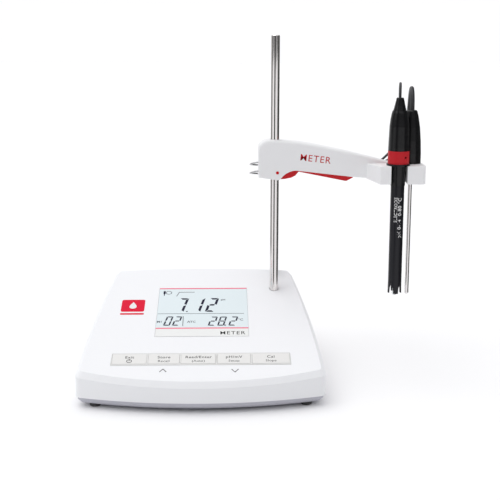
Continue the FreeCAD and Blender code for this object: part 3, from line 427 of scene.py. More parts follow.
# ---------------------------------------------------------------- finishes
@dataclass(frozen=True)
class Moulded:
    """Injection-moulded plastic with a fine spark-eroded grain."""

    name: str
    colour: Colour
    roughness: float = 0.45
    grain: float = 2600.0
    depth: float = 0.00006
    mottle: float = 0.03
    rounding: float = 0.0007
    specular: float = 0.5

    def material(self) -> bpy.types.Material:
        """Build the finish."""
        paint = Paint(self.name)
        cloud = paint.noise(14.0, 3.0)
        grain = paint.noise(self.grain, 3.0, roughness=0.65)
        low = tuple(c * (1.0 - self.mottle) for c in self.colour)
        colour = paint.mix(cloud * 0.6 + grain * 0.4, low, self.colour)
        rough = cloud * 0.08 + grain * 0.10 + (self.roughness - 0.09)
        normal = paint.bump(grain, 0.25, self.depth, self.rounding)
        return paint.surface(Base_Color=colour, Roughness=rough, Normal=normal,
                             Specular_IOR_Level=self.specular)


@dataclass(frozen=True)
class Glossy:
    """Smooth glossy plastic with slight sink marks and fine wear."""

    name: str
    colour: Colour
    roughness: float = 0.22
    sink: float = 60.0
    scuff: float = 0.10
    rounding: float = 0.0005
    specular: float = 0.4

    def material(self) -> bpy.types.Material:
        """Build the finish."""
        paint = Paint(self.name)
        sink = paint.noise(self.sink, 1.0)
        scuff = paint.noise(900.0, 4.0, (1.0, 1.0, 0.15), 0.7)
        worn = (scuff - 0.55) * 1.6
        low = tuple(c * 0.93 for c in self.colour)
        colour = paint.mix(sink, low, self.colour)
        rough = abs(worn) * self.scuff + self.roughness
        normal = paint.bump(sink * 0.7 + scuff * 0.3, 0.12, 0.0002, self.rounding)
        return paint.surface(Base_Color=colour, Roughness=rough, Normal=normal,
                             Specular_IOR_Level=self.specular)


@dataclass(frozen=True)
class DrawnSteel:
    """Polished steel with fine lines left by drawing or turning."""

    name: str
    colour: Colour = (0.74, 0.73, 0.72)
    roughness: float = 0.13
    lines: Point = (1.0, 1.0, 0.012)
    pitch: float = 4200.0

    def material(self) -> bpy.types.Material:
        """Build the finish."""
        paint = Paint(self.name)
        lines = paint.noise(self.pitch, 2.0, self.lines)
        haze = paint.noise(30.0, 2.0)
        low = tuple(c * 0.9 for c in self.colour)
        colour = paint.mix(lines * 0.7 + haze * 0.3, low, self.colour)
        rough = lines * 0.06 + haze * 0.03 + (self.roughness - 0.03)
        normal = paint.bump(lines, 0.05, 0.00004)
        return paint.surface(Base_Color=colour, Metallic=1.0, Roughness=rough, Normal=normal)


@dataclass(frozen=True)
class Sheath:
    """Soft matt cable sheath or rubber."""

    name: str
    colour: Colour = (0.018, 0.018, 0.02)
    roughness: float = 0.5

    def material(self) -> bpy.types.Material:
        """Build the finish."""
        paint = Paint(self.name)
        dust = paint.noise(400.0, 4.0, roughness=0.7)
        pits = paint.noise(3000.0, 2.0)
        colour = paint.mix(dust, self.colour, tuple(c * 1.7 + 0.006 for c in self.colour))
        rough = dust * 0.2 + (self.roughness - 0.1)
        return paint.surface(Base_Color=colour, Roughness=rough,
                             Normal=paint.bump(pits, 0.2, 0.00005))


@dataclass(frozen=True)
class ClearWindow:
    """Thin clear plastic or glass that shows what is behind it."""

    name: str
    colour: Colour = (0.93, 0.96, 0.98)
    alpha: float = 0.05
    roughness: float = 0.06

    def material(self) -> bpy.types.Material:
        """Build the finish."""
        paint = Paint(self.name)
        wipe = paint.noise(45.0, 4.0, (1.0, 0.25, 1.0), 0.6)
        return paint.surface(Base_Color=self.colour, Roughness=wipe * 0.05 + self.roughness,
                             Alpha=wipe * 0.03 + self.alpha, Specular_IOR_Level=0.5)


@dataclass(frozen=True)
class DisplayCell:
    """Pale reflective liquid crystal cell with a faint electrode pattern, and a painted glow that stands in for edge
    light.
    """

    name: str
    colour: Colour = (0.70, 0.775, 0.80)
    # Strength of the painted glow: emission that brightens the cell, which is no lamp.
    painted_glow: float = 0.12

    def material(self) -> bpy.types.Material:
        """Build the finish."""
        paint = Paint(self.name)
        cloud = paint.noise(26.0, 2.0)
        fine = paint.noise(2500.0, 1.0, (1.0, 0.1, 1.0))
        shade = cloud * 0.75 + fine * 0.25
        colour = paint.mix(shade, tuple(c * 0.955 for c in self.colour), self.colour)
        # The emission below is painted glow that lifts the cell's brightness.
        return paint.surface(Base_Color=colour, Roughness=fine * 0.1 + 0.3, Specular_IOR_Level=0.1,
                             Emission_Color=colour, Emission_Strength=self.painted_glow)


@dataclass(frozen=True)
class Ink:
    """Printed or activated dark or coloured marks."""

    name: str
    colour: Colour
    roughness: float = 0.5
    spread: float = 0.12

    def material(self) -> bpy.types.Material:
        """Build the finish."""
        paint = Paint(self.name)
        weave = paint.noise(5200.0, 2.0)
        colour = paint.mix(weave, self.colour, tuple(min(1.0, c * (1 + self.spread) + 0.008)
                                                     for c in self.colour))
        return paint.surface(Base_Color=colour, Roughness=weave * 0.12 + (self.roughness - 0.06),
                             Specular_IOR_Level=0.08)


@dataclass(frozen=True)
class Board:
    """Circuit board with solder mask and faint tracks."""

    name: str = "solder_mask"
    colour: Colour = (0.03, 0.16, 0.075)

    def material(self) -> bpy.types.Material:
        """Build the finish."""
        paint = Paint(self.name)
        tracks = paint.noise(420.0, 0.0, (1.0, 0.2, 1.0)) > 0.54
        colour = paint.mix(tracks * 0.6, self.colour, (0.06, 0.30, 0.14))
        return paint.surface(Base_Color=colour, Roughness=tracks * -0.1 + 0.42,
                             Normal=paint.bump(tracks, 0.3, 0.00003))


class Finish(Enum):
    """Every finish on the instrument."""

    HOUSING = Moulded("housing_white", (0.82, 0.83, 0.885), 0.42)
    BASE = Moulded("base_grey_white", (0.54, 0.54, 0.60), 0.5)
    ARM = Moulded("arm_white", (0.83, 0.82, 0.835), 0.38)
    KEY = Moulded("key_warm_white", (0.82, 0.815, 0.80), 0.55, 3200.0, 0.00004, 0.03, 0.0003)
    KEY_FRAME = Moulded("key_frame_white", (0.80, 0.80, 0.79), 0.5, 3200.0, 0.00004, 0.03, 0.0003)
    RED = Glossy("red_moulding", (0.60, 0.008, 0.014), 0.25, 60.0, 0.10, 0.0005, 0.25)
    RED_SATIN = Glossy("red_sleeve", (0.52, 0.012, 0.020), 0.38, 60.0, 0.10, 0.0005, 0.2)
    STEEL = DrawnSteel("polished_rod", (0.80, 0.775, 0.765), 0.06)
    TIN = DrawnSteel("plain_steel", (0.62, 0.62, 0.63), 0.28)
    NICKEL = DrawnSteel("nickel_plate", (0.74, 0.72, 0.68), 0.2, (0.02, 1.0, 1.0))
    GOLD = DrawnSteel("contact_brass", (0.80, 0.60, 0.28), 0.22)
    BLACK = Moulded("satin_black", (0.006, 0.006, 0.007), 0.27, 2200.0, 0.00003, 0.2, 0.0006, 0.32)
    BARREL = Moulded("barrel_black", (0.008, 0.008, 0.012), 0.33, 1800.0, 0.00003, 0.2, 0.0004, 0.3)
    DARK = Moulded("panel_black", (0.02, 0.02, 0.023), 0.5, 2000.0, 0.00006, 0.2, 0.0004)
    SHEATH = Sheath("cable_sheath")
    RUBBER = Sheath("foot_rubber", (0.03, 0.03, 0.033), 0.6)
    TIE = Glossy("cable_tie", (0.05, 0.05, 0.055), 0.35)
    GLASS = ClearWindow("bulb_glass", (0.85, 0.90, 0.93), 0.35, 0.03)
    WINDOW = ClearWindow("display_window_clear")
    CELL = DisplayCell("display_cell")
    LIGHT = Glossy("light_guide", (0.86, 0.88, 0.9), 0.4)
    BOARD = Board()
    LCD_INK = Ink("display_ink", (0.012, 0.012, 0.035), 0.45)
    LCD_FAINT = Ink("display_ink_thin", (0.09, 0.095, 0.115), 0.5)
    PRINT = Ink("printed_dark", (0.018, 0.017, 0.018), 0.55)
    PRINT_SOFT = Ink("printed_soft", (0.07, 0.068, 0.07), 0.55)
    PRINT_RED = Ink("printed_red", (0.70, 0.004, 0.035), 0.45)
    ARM_RED = Ink("printed_deep_red", (0.50, 0.008, 0.012), 0.45)
    PRINT_ROSE = Ink("printed_rose", (0.84, 0.16, 0.24), 0.5)
    PRINT_WHITE = Ink("printed_white", (0.78, 0.78, 0.78), 0.5)
    PRINT_PALE = Ink("printed_pale", (0.84, 0.85, 0.84), 0.5, 0.03)
    BORDER = Ink("border_grey", (0.55, 0.55, 0.53), 0.5)

    def get(self) -> bpy.types.Material:
        """The built material, made once."""
        found = bpy.data.materials.get(self.value.name)
        return found or self.value.material()


# ---------------------------------------------------------------- mesh helpers
def dress(node: str, finish: Finish) -> None:
    """Give a carried part its finish.

    Args:
        node: the part's name.
        finish: what it is made of.
    """
    part = frame["nodes"][node]
    for holder in part.material_slots:
        holder.material = finish.get()
    LOG.info("dressed %s in %s", node, finish.value.name)


def dress_all(**finishes: Finish) -> None:
    """Give each named carried part its finish."""
    for node, finish in finishes.items():
        dress(node, finish)


def piece(name: str, mesh: bpy.types.Mesh, finish: Finish, body: str, smooth: bool = False,
          slot: Optional[str] = None) -> bpy.types.Object:
    """Link a finished mesh as a piece that rides a body.

    Args:
        name: the piece's name.
        mesh: its mesh, already in place.
        finish: its material.
        body: the body that it rides.
        smooth: whether its faces are shaded smooth.
        slot: the material slot of the record it takes.

    Returns:
        The object.
    """
    if not mesh.materials:
        mesh.materials.append(finish.get())
    if smooth:
        mesh.polygons.foreach_set("use_smooth", [True] * len(mesh.polygons))
    thing = linked(name, mesh)
    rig.ride(thing, body)
    if slot:
        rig.slot(thing, slot)
    LOG.info("built %s on %s", name, body)
    return thing


def plates(name: str, outlines: Sequence[Sequence[Flat]], thick: float) -> bpy.types.Mesh:
    """Thin plates standing on the XY plane.

    Args:
        name: the mesh's name.
        outlines: corners of each plate, in millimetres.
        thick: their thickness in millimetres.

    Returns:
        The mesh, in metres.
    """
    shape = bmesh.new()
    for outline in outlines:
        low = [shape.verts.new((x * MM, y * MM, 0.0)) for x, y in outline]
        high = [shape.verts.new((x * MM, y * MM, thick * MM)) for x, y in outline]
        shape.faces.new(high)
        shape.faces.new(low[::-1])
        count = len(outline)
        for i in range(count):
            j = (i + 1) % count
            shape.faces.new((low[i], low[j], high[j], high[i]))
    bmesh.ops.recalc_face_normals(shape, faces=shape.faces)
    mesh = bpy.data.meshes.new(name)
    shape.to_mesh(mesh)
    shape.free()
    return mesh


def strip(points: Sequence[Flat], width: float) -> list[list[Flat]]:
    """Outlines of a line of the given width through flat points.

    Args:
        points: the line's points.
        width: its width.

    Returns:
        One four-cornered outline per run.
    """
    outlines = []
    for (x0, y0), (x1, y1) in zip(points, points[1:]):
        run = math.hypot(x1 - x0, y1 - y0)
        dx = (x1 - x0) / run * width / 2
        dy = (y1 - y0) / run * width / 2
        outlines.append([(x0 - dx - dy, y0 - dy + dx), (x0 - dx + dy, y0 - dy - dx),
                         (x1 + dx + dy, y1 + dy - dx), (x1 + dx - dy, y1 + dy + dx)])
    return outlines


def ring_outline(x: float, y: float, across: float, high: float, corners: int = 24) -> list[Flat]:
    """Points round an ellipse, closed."""
    turn = 2 * math.pi / corners
    return [(x + across / 2 * math.cos(turn * i), y + high / 2 * math.sin(turn * i))
            for i in range(corners + 1)]


def rounded(x0: float, y0: float, x1: float, y1: float, r: float, steps: int = 6) -> list[Flat]:
    """A rectangle's outline with round corners.

    Args:
        x0: left.
        y0: bottom.
        x1: right.
        y1: top.
        r: corner radius.
        steps: runs in each corner.

    Returns:
        The corners, anticlockwise.
    """
    points = []
    for cx, cy, start in ((x1 - r, y0 + r, -90), (x1 - r, y1 - r, 0), (x0 + r, y1 - r, 90),
                          (x0 + r, y0 + r, 180)):
        for i in range(steps + 1):
            a = math.radians(start + 90 * i / steps)
            points.append((cx + r * math.cos(a), cy + r * math.sin(a)))
    return points


class Align(Enum):
    """Where a line of letters starts from its point."""

    LEFT = "LEFT"
    CENTRE = "CENTER"
    RIGHT = "RIGHT"


def letters(words: str, size: float, at: Flat, align: Align = Align.CENTRE, heavy: float = 0.0,
            slant: float = 0.0, spread: float = 1.0) -> bpy.types.Mesh:
    """Letters as a flat mesh on the XY plane.

    Args:
        words: what it says.
        size: letter height in millimetres.
        at: the point that the line is set from, in millimetres.
        align: how it is set from there.
        heavy: how much the strokes are thickened, in millimetres.
        slant: shear to the right.
        spread: how much wider than usual the letters stand.

    Returns:
        The mesh, in metres.
    """
    curve = bpy.data.curves.new("letters", "FONT")
    curve.body = words
    curve.size = size / 0.72
    curve.align_x = align.value
    curve.offset = heavy
    curve.shear = slant
    curve.space_character = spread
    curve.resolution_u = 3
    holder = linked("letters", curve)
    bpy.context.view_layer.update()
    mesh = bpy.data.meshes.new_from_object(holder)
    bpy.data.objects.remove(holder)
    bpy.data.curves.remove(curve)
    mesh.transform(Matrix.Scale(MM, 4) @ Matrix.Translation((at[0], at[1], 0.0)))
    return mesh


def merged(name: str, meshes: Sequence[bpy.types.Mesh]) -> bpy.types.Mesh:
    """One mesh from several."""
    shape = bmesh.new()
    for mesh in meshes:
        shape.from_mesh(mesh)
    made = bpy.data.meshes.new(name)
    shape.to_mesh(made)
    shape.free()
    return made


def wrapped(mesh: bpy.types.Mesh, axis: Flat, radius: float, low: float, facing: float) -> None:
    """Bend a flat mesh round an upright cylinder: its X runs up, its Y runs round.

    Args:
        mesh: a mesh on the XY plane.
        axis: the cylinder's middle, in metres.
        radius: the cylinder's radius.
        low: the height that X starts from.
        facing: the angle that the letters face, seen from above, in radians.
    """
    for vertex in mesh.vertices:
        angle = facing - vertex.co.y / radius
        out = radius + vertex.co.z
        vertex.co = Vector((axis[0] + out * math.cos(angle), axis[1] + out * math.sin(angle),
                            low + vertex.co.x))


# ---------------------------------------------------------------- repeated features
class Pattern:
    """A geometry node tree with named sizes that ends in Realize Instances and Set Material."""

    def __init__(self, name: str) -> None:
        """Start an empty tree.

        Args:
            name: the tree's name.
        """
        self.tree = bpy.data.node_groups.new(name, "GeometryNodeTree")
        self.tree.interface.new_socket("Geometry", in_out="OUTPUT",
                                       socket_type="NodeSocketGeometry")
        self.sizes: dict[str, str] = {}
        self.source = self.tree.nodes.new("NodeGroupInput")

    def size(self, name: str, kind: str = "NodeSocketFloat") -> Callable[[], bpy.types.NodeSocket]:
        """Add a named input.

        Args:
            name: the input's name.
            kind: its socket type.

        Returns:
            A function that gives the input's socket inside the tree.
        """
        made = self.tree.interface.new_socket(name, in_out="INPUT", socket_type=kind)
        self.sizes[name] = made.identifier
        return lambda: self.source.outputs[name]

    def node(self, kind: str, settings: Optional[dict] = None,
             inputs: Optional[dict] = None) -> bpy.types.Node:
        """Add a node.

        Args:
            kind: the node's type.
            settings: properties set first.
            inputs: values or sockets, by name or number.

        Returns:
            The node.
        """
        node = self.tree.nodes.new(kind)
        for name, value in (settings or {}).items():
            setattr(node, name, value)
        for name, value in (inputs or {}).items():
            slot = node.inputs[name]
            if isinstance(value, bpy.types.NodeSocket):
                self.tree.links.new(value, slot)
            else:
                slot.default_value = value
        return node

    def row(self, axis: str) -> bpy.types.NodeSocket:
        """Points in a row along an axis, with inputs for their count and pitch."""
        count = self.size("Count", "NodeSocketInt")
        pitch = self.size("Pitch")
        offset = self.node("ShaderNodeCombineXYZ", None, {axis: pitch()})
        line = self.node("GeometryNodeMeshLine", None,
                         {"Count": count(), "Offset": offset.outputs[0]})
        return line.outputs[0]

    def hoop(self, sides: int, radius: bpy.types.NodeSocket) -> bpy.types.NodeSocket:
        """A circle as a curve."""
        ring = self.node("GeometryNodeCurvePrimitiveCircle", None,
                         {"Resolution": sides, "Radius": radius})
        return ring.outputs["Curve"]

    def close(self, instances: bpy.types.NodeSocket, finish: Finish) -> None:
        """End the tree.

        Args:
            instances: the instances to realize.
            finish: their material.
        """
        real = self.node("GeometryNodeRealizeInstances", None, {0: instances})
        painted = self.node("GeometryNodeSetMaterial", None,
                            {"Geometry": real.outputs[0], "Material": finish.get()})
        out = self.node("NodeGroupOutput")
        self.tree.links.new(painted.outputs[0], out.inputs[0])

    def build(self, name: str, **values: Any) -> bpy.types.Mesh:
        """Evaluate the tree into a plain mesh.

        Args:
            name: the mesh's name.
            **values: the named sizes, with underscores for spaces.

        Returns:
            The mesh.
        """
        holder = linked(name, bpy.data.meshes.new(name + "_seed"))
        modifier = holder.modifiers.new("pattern", "NODES")
        modifier.node_group = self.tree
        for key, value in values.items():
            modifier[self.sizes[key.replace("_", " ")]] = value
        mesh = evaluated(holder)
        holder.modifiers.remove(modifier)
        bpy.data.objects.remove(holder)
        mesh.name = name
        return mesh


class RibRow(Pattern):
    """Round ribs in a row along Z, such as on a strain relief or a grip."""

    def __init__(self, finish: Finish) -> None:
        """Build the tree for one finish."""
        super().__init__("rib_row_" + finish.value.name)
        line = self.row("Z")
        radius = self.size("Radius")
        wire = self.size("Wire")
        taper = self.size("Taper")
        rib = self.node("GeometryNodeCurveToMesh", None,
                        {"Curve": self.hoop(40, radius()), "Profile Curve": self.hoop(8, wire())})
        index = self.node("GeometryNodeInputIndex")
        shrink = self.node("ShaderNodeMath", {"operation": "MULTIPLY"},
                           {0: index.outputs[0], 1: taper()})
        scale = self.node("ShaderNodeMath", {"operation": "SUBTRACT"},
                          {0: 1.0, 1: shrink.outputs[0]})
        both = self.node("ShaderNodeCombineXYZ", None,
                         {"X": scale.outputs[0], "Y": scale.outputs[0], "Z": 1.0})
        placed = self.node("GeometryNodeInstanceOnPoints", None,
                           {"Points": line, "Instance": rib.outputs[0],
                            "Scale": both.outputs[0]})
        self.close(placed.outputs[0], finish)


class BarRing(Pattern):
    """Small bars standing round an axis along Z, such as a knurled grip."""

    def __init__(self, finish: Finish) -> None:
        """Build the tree for one finish."""
        super().__init__("bar_ring_" + finish.value.name)
        count = self.size("Count", "NodeSocketInt")
        radius = self.size("Radius")
        bar = self.size("Bar", "NodeSocketVector")
        circle = self.node("GeometryNodeMeshCircle", None,
                           {"Vertices": count(), "Radius": radius()})
        cube = self.node("GeometryNodeMeshCube", None, {"Size": bar()})
        place = self.node("GeometryNodeInputPosition")
        align = self.node("FunctionNodeAlignRotationToVector", {"axis": "X"},
                          {"Vector": place.outputs[0]})
        placed = self.node("GeometryNodeInstanceOnPoints", None,
                           {"Points": circle.outputs[0], "Instance": cube.outputs[0],
                            "Rotation": align.outputs[0]})
        self.close(placed.outputs[0], finish)


class PinRow(Pattern):
    """Round pins in a row along X, standing along Z."""

    def __init__(self, finish: Finish) -> None:
        """Build the tree for one finish."""
        super().__init__("pin_row_" + finish.value.name)
        line = self.row("X")
        radius = self.size("Radius")
        length = self.size("Length")
        pin = self.node("GeometryNodeMeshCylinder", None,
                        {"Vertices": 20, "Radius": radius(), "Depth": length()})
        placed = self.node("GeometryNodeInstanceOnPoints", None,
                           {"Points": line, "Instance": pin.outputs[0]})
        self.close(placed.outputs[0], finish)


# ---------------------------------------------------------------- camera and studio
@dataclass
class Studio:
    """Camera, lights and floor."""

    stand: Point = (-32.7, -821.2, 322.4)
    tilt: float = 9.88
    turn: float = 1.0
    lens: float = 64.8
    rise: float = -0.12
    slide: float = 0.025
    floor: Colour = (0.95, 0.95, 0.955)

    def camera(self) -> None:
        """Make the camera at the seat of the viewer."""
        data = bpy.data.cameras.new("camera")
        data.sensor_width = 36.0
        data.lens = self.lens
        data.shift_x = self.slide
        data.shift_y = self.rise
        data.clip_start = 0.01
        data.clip_end = 50.0
        camera = linked("camera", data)
        camera.location = Vector(self.stand) * MM
        camera.rotation_euler = (math.radians(90 - self.tilt), 0.0, -math.radians(self.turn))
        bpy.context.scene.camera = camera

    def sun(self, name: str, aim: Point, power: float, spread: float, colour: Colour) -> None:
        """Add a broad distant light.

        Args:
            name: the light's name.
            aim: the direction that it comes from.
            power: its strength.
            spread: how wide it looks, in degrees.
            colour: its colour.
        """
        data = bpy.data.lights.new(name, "SUN")
        data.energy = power
        data.angle = math.radians(spread)
        data.color = colour
        light = linked(name, data)
        light.rotation_euler = Vector(aim).to_track_quat("Z", "Y").to_euler()

    def world(self) -> None:
        """Make the soft surround: bright overhead and behind, dimmer low on the viewer's side."""
        world = bpy.data.worlds.new("surround")
        bpy.context.scene.world = world
        world.use_nodes = True
        tree = world.node_tree
        tree.nodes.clear()
        coords = tree.nodes.new("ShaderNodeTexCoord")
        split = tree.nodes.new("ShaderNodeSeparateXYZ")
        tree.links.new(coords.outputs["Generated"], split.inputs[0])
        x, y, z = (Value(tree, split.outputs[i]) for i in range(3))
        seen = Value(tree, tree.nodes.new("ShaderNodeLightPath").outputs["Is Camera Ray"])
        near = (y < 0.12) * (z < 0.50)
        strength = 0.93 - near * 0.62 - (x > 0.60) * near * 0.10
        strength = strength * (1.0 - seen) + seen * 1.02
        back = tree.nodes.new("ShaderNodeBackground")
        back.inputs["Color"].default_value = (0.985, 0.985, 1.0, 1.0)
        tree.links.new(strength.socket, back.inputs["Strength"])
        out = tree.nodes.new("ShaderNodeOutputWorld")
        tree.links.new(back.outputs[0], out.inputs[0])

    def flag(self, name: str, start: Flat, end: Flat, shade: float) -> None:
        """Add an upright card that only polished surfaces mirror.

        Args:
            name: the card's name.
            start: one foot, in metres.
            end: the other foot, in metres.
            shade: how light it is.
        """
        low, high = 0.001, 0.60
        mesh = bpy.data.meshes.new(name)
        corners = [(*start, low), (*end, low), (*end, high), (*start, high)]
        mesh.from_pydata(corners, [], [(0, 1, 2, 3)])
        ink = Ink(name + "_card", (shade, shade, shade * 0.97), 0.9, 0.02)
        mesh.materials.append(ink.material())
        card = linked(name, mesh)
        card.visible_camera = False
        card.visible_diffuse = False
        card.visible_shadow = False
        card.visible_transmission = False
        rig.stage(card)

    def build(self) -> None:
        """Make everything outside the instrument."""
        self.camera()
        self.world()
        self.sun("overhead", (-0.35, 0.10, 1.0), 0.80, 50.0, (1.0, 1.0, 1.0))
        self.sun("left_window", (-1.0, -0.35, 0.55), 0.22, 30.0, (1.0, 1.0, 1.0))
        self.flag("flag_front", (-0.115, -0.21), (0.030, -0.21), 0.02)
        self.flag("flag_right", (0.285, -0.10), (0.24, 0.42), 0.10)
        self.flag("flag_left", (-0.30, 0.30), (-0.26, -0.02), 0.30)
        far = 9000
        mesh = plates("floor", [[(-far, -far), (far, -far), (far, far), (-far, far)]], 20.0)
        mesh.transform(Matrix.Translation((0.0, 0.0, -0.0202)))
        mesh.materials.append(Ink("floor_white", self.floor, 0.7, 0.01).material())
        floor = linked("floor", mesh)
        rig.stage(floor)
        bpy.context.scene.view_settings.view_transform = "Standard"
        LOG.info("studio ready")


# ---------------------------------------------------------------- cables
@dataclass
class Coil:
    """The put-away turns of a cable, wound in two layers."""

    at: Flat
    outer: float
    cable: float
    lift: float
    start: float
    sweep: float

    def points(self) -> list[Point]:
        """Points along the turns: in on the upper layer, out again on the lower one."""
        half = self.sweep / 2
        drop = 110.0
        count = math.ceil(self.sweep / 22.5)
        low = self.lift + self.cable / 2
        made = []
        for i in range(count + 1):
            swept = self.sweep * i / count
            inward = swept if swept < half else self.sweep - swept
            radius = self.outer - self.cable * 1.04 * inward / 360
            fall = min(1.0, max(0.0, (swept - half + drop / 2) / drop))
            height = low + self.cable * 1.02 * (1 - fall)
            angle = math.radians(self.start - swept)
            made.append((self.at[0] + radius * math.cos(angle),
                         self.at[1] + radius * math.sin(angle), height))
        return made


@dataclass
class Cable:
    """One cable: from its head over the arm, down beside the rod, into a tied coil and its plug."""

    name: str
    diameter: float
    upper: list[Point]
    riser: list[Point]
    tail: list[Point]
    lead: list[Point]
    coil: Coil
    plug: str
    shares: Point

    def line(self, name: str, points: Sequence[Point]) -> bpy.types.Object:
        """A smooth line with a round section.

        Args:
            name: the piece's name.
            points: its control points, in millimetres.

        Returns:
            The curve object.
        """
        curve = bpy.data.curves.new(name, "CURVE")
        curve.dimensions = "3D"
        curve.resolution_u = 6
        spline = curve.splines.new("NURBS")
        spline.points.add(len(points) - 1)
        for control, place in zip(spline.points, metres(points)):
            control.co = (*place, 1.0)
        spline.order_u = 3
        spline.use_endpoint_u = True
        curve.bevel_depth = self.diameter / 2 * MM
        curve.bevel_resolution = 3
        curve.use_fill_caps = True
        curve.materials.append(Finish.SHEATH.get())
        return linked(name, curve)

    def solid(self, thing: bpy.types.Object) -> tuple[bpy.types.Object, list[Point]]:
        """Turn a line into a mesh tube that can bend across a joint.

        Args:
            thing: the curve object.

        Returns:
            The mesh object and the points of its own middle line.
        """
        name = thing.name
        mesh = evaluated(thing)
        thing.data.bevel_depth = 0.0
        middle = evaluated(thing)
        path = [tuple(vertex.co) for vertex in middle.vertices]
        bpy.data.objects.remove(thing)
        bpy.data.meshes.remove(middle)
        mesh.polygons.foreach_set("use_smooth", [True] * len(mesh.polygons))
        return linked(name, mesh), path

    def build(self) -> None:
        width = self.diameter * MM
        over = self.line(self.name + "_cable_over_arm", self.upper)
        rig.ride(over, "arm")
        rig.replaces(over, self.name + "_cable_upper")
        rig.cord(over, exit=Vector(self.upper[0]) * MM, length=self.shares[0], diameter=width,
                far_end="object", stiffness="limp", lay="loose")
        rise, path = self.solid(self.line(self.name + "_cable_beside_rod", self.riser))
        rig.blend(rise, "arm", "mast", Vector(self.riser[0]) * MM, Vector(self.riser[-1]) * MM)
        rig.replaces(rise, self.name + "_cable_riser")
        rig.cord(rise, exit=path[0], length=self.shares[1], diameter=width, far_end="object",
                stiffness="limp", lay="hanging", path=path)
        turns = self.tail + self.coil.points() + self.lead[::-1]
        rest, path = self.solid(self.line(self.name + "_cable_to_plug", turns))
        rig.blend(rest, "mast", "meter", Vector(self.tail[0]) * MM, Vector(self.tail[3]) * MM)
        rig.replaces(rest, *(f"{self.name}_cable_{part}" for part in ("tail", "coil", "lead")))
        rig.cord(rest, exit=path[0], length=self.shares[2], diameter=width, far_end="plug",
                stiffness="limp", lay="coiled", path=path,
                with_pieces=[frame["nodes"][self.plug], frame["nodes"]["coil_ties"]])
        LOG.info("laid the %s cable", self.name)


def make_cables() -> list[Cable]:
    """The two cables with their routes."""
    ph = Cable(
        "ph", 2.4,
        [(136.0, 28.75, 262.5), (136.0, 28.75, 271.0), (138.5, 42.0, 276.5), (142.0, 62.0, 271.0),
         (145.0, 76.0, 253.0), (146.0, 79.0, 231.0), (142.0, 77.0, 209.0), (119.0, 67.0, 190.5),
         (88.0, 66.0, 189.6), (55.0, 67.2, 191.2), (34.0, 67.6, 190.0), (20.2, 67.6, 180.0),
         (20.2, 67.6, 166.0)],
        [(20.2, 67.6, 166.0), (20.2, 67.6, 150.0), (20.0, 69.0, 136.0), (20.2, 67.6, 122.0),
         (20.2, 67.6, 106.0)],
        [(20.2, 67.6, 106.0), (20.2, 67.6, 96.0), (19.6, 77.5, 90.0), (19.4, 91.0, 88.0),
         (19.3, 101.5, 78.0), (16.5, 104.5, 63.0), (5.0, 103.5, 50.5), (-8.0, 102.5, 45.5),
         (-19.0, 103.5, 36.0), (-26.0, 105.0, 22.0), (-34.0, 107.0, 9.5)],
        [(-36.8, 120.5, 34.0), (-36.8, 132.0, 34.0), (-36.8, 142.5, 28.5), (-37.5, 148.0, 18.0),
         (-38.5, 147.0, 8.0), (-43.0, 139.5, 3.6)],
        Coil((-52.0, 122.0), 15.9, 2.4, 0.8, -59.5, 2018.8), "ph_plug", (0.25, 0.06, 0.645))
    temp = Cable(
        "temp", 4.2,
        [(151.0, 43.75, 249.5), (151.0, 43.75, 261.5), (153.0, 58.0, 271.0), (156.5, 80.0, 266.0),
         (158.5, 95.0, 246.0), (158.0, 97.0, 224.0), (153.0, 90.0, 202.0), (124.0, 74.5, 189.8),
         (90.0, 72.3, 189.6), (57.0, 73.4, 191.4), (34.0, 74.0, 190.5), (20.6, 74.0, 180.0),
         (20.6, 74.0, 166.0)],
        [(20.6, 74.0, 166.0), (20.6, 74.0, 150.0), (20.8, 75.0, 136.0), (20.6, 74.0, 122.0),
         (20.6, 74.0, 106.0)],
        [(20.6, 74.0, 106.0), (20.6, 74.0, 98.5), (22.4, 78.5, 93.0), (23.2, 87.5, 90.6),
         (23.4, 97.5, 88.6), (23.8, 108.0, 77.0), (25.5, 112.0, 58.0), (27.0, 109.0, 35.0),
         (25.0, 105.0, 15.0)],
        [(0.2, 112.5, 34.0), (0.2, 128.0, 34.0), (-0.2, 143.5, 33.0), (-7.5, 153.0, 19.0),
         (-14.8, 144.0, 5.2)],
        Coil((8.0, 126.0), 26.0, 4.2, 0.8, -75.3, 1188.2), "temp_plug", (0.27, 0.06, 0.66))
    return [ph, temp]


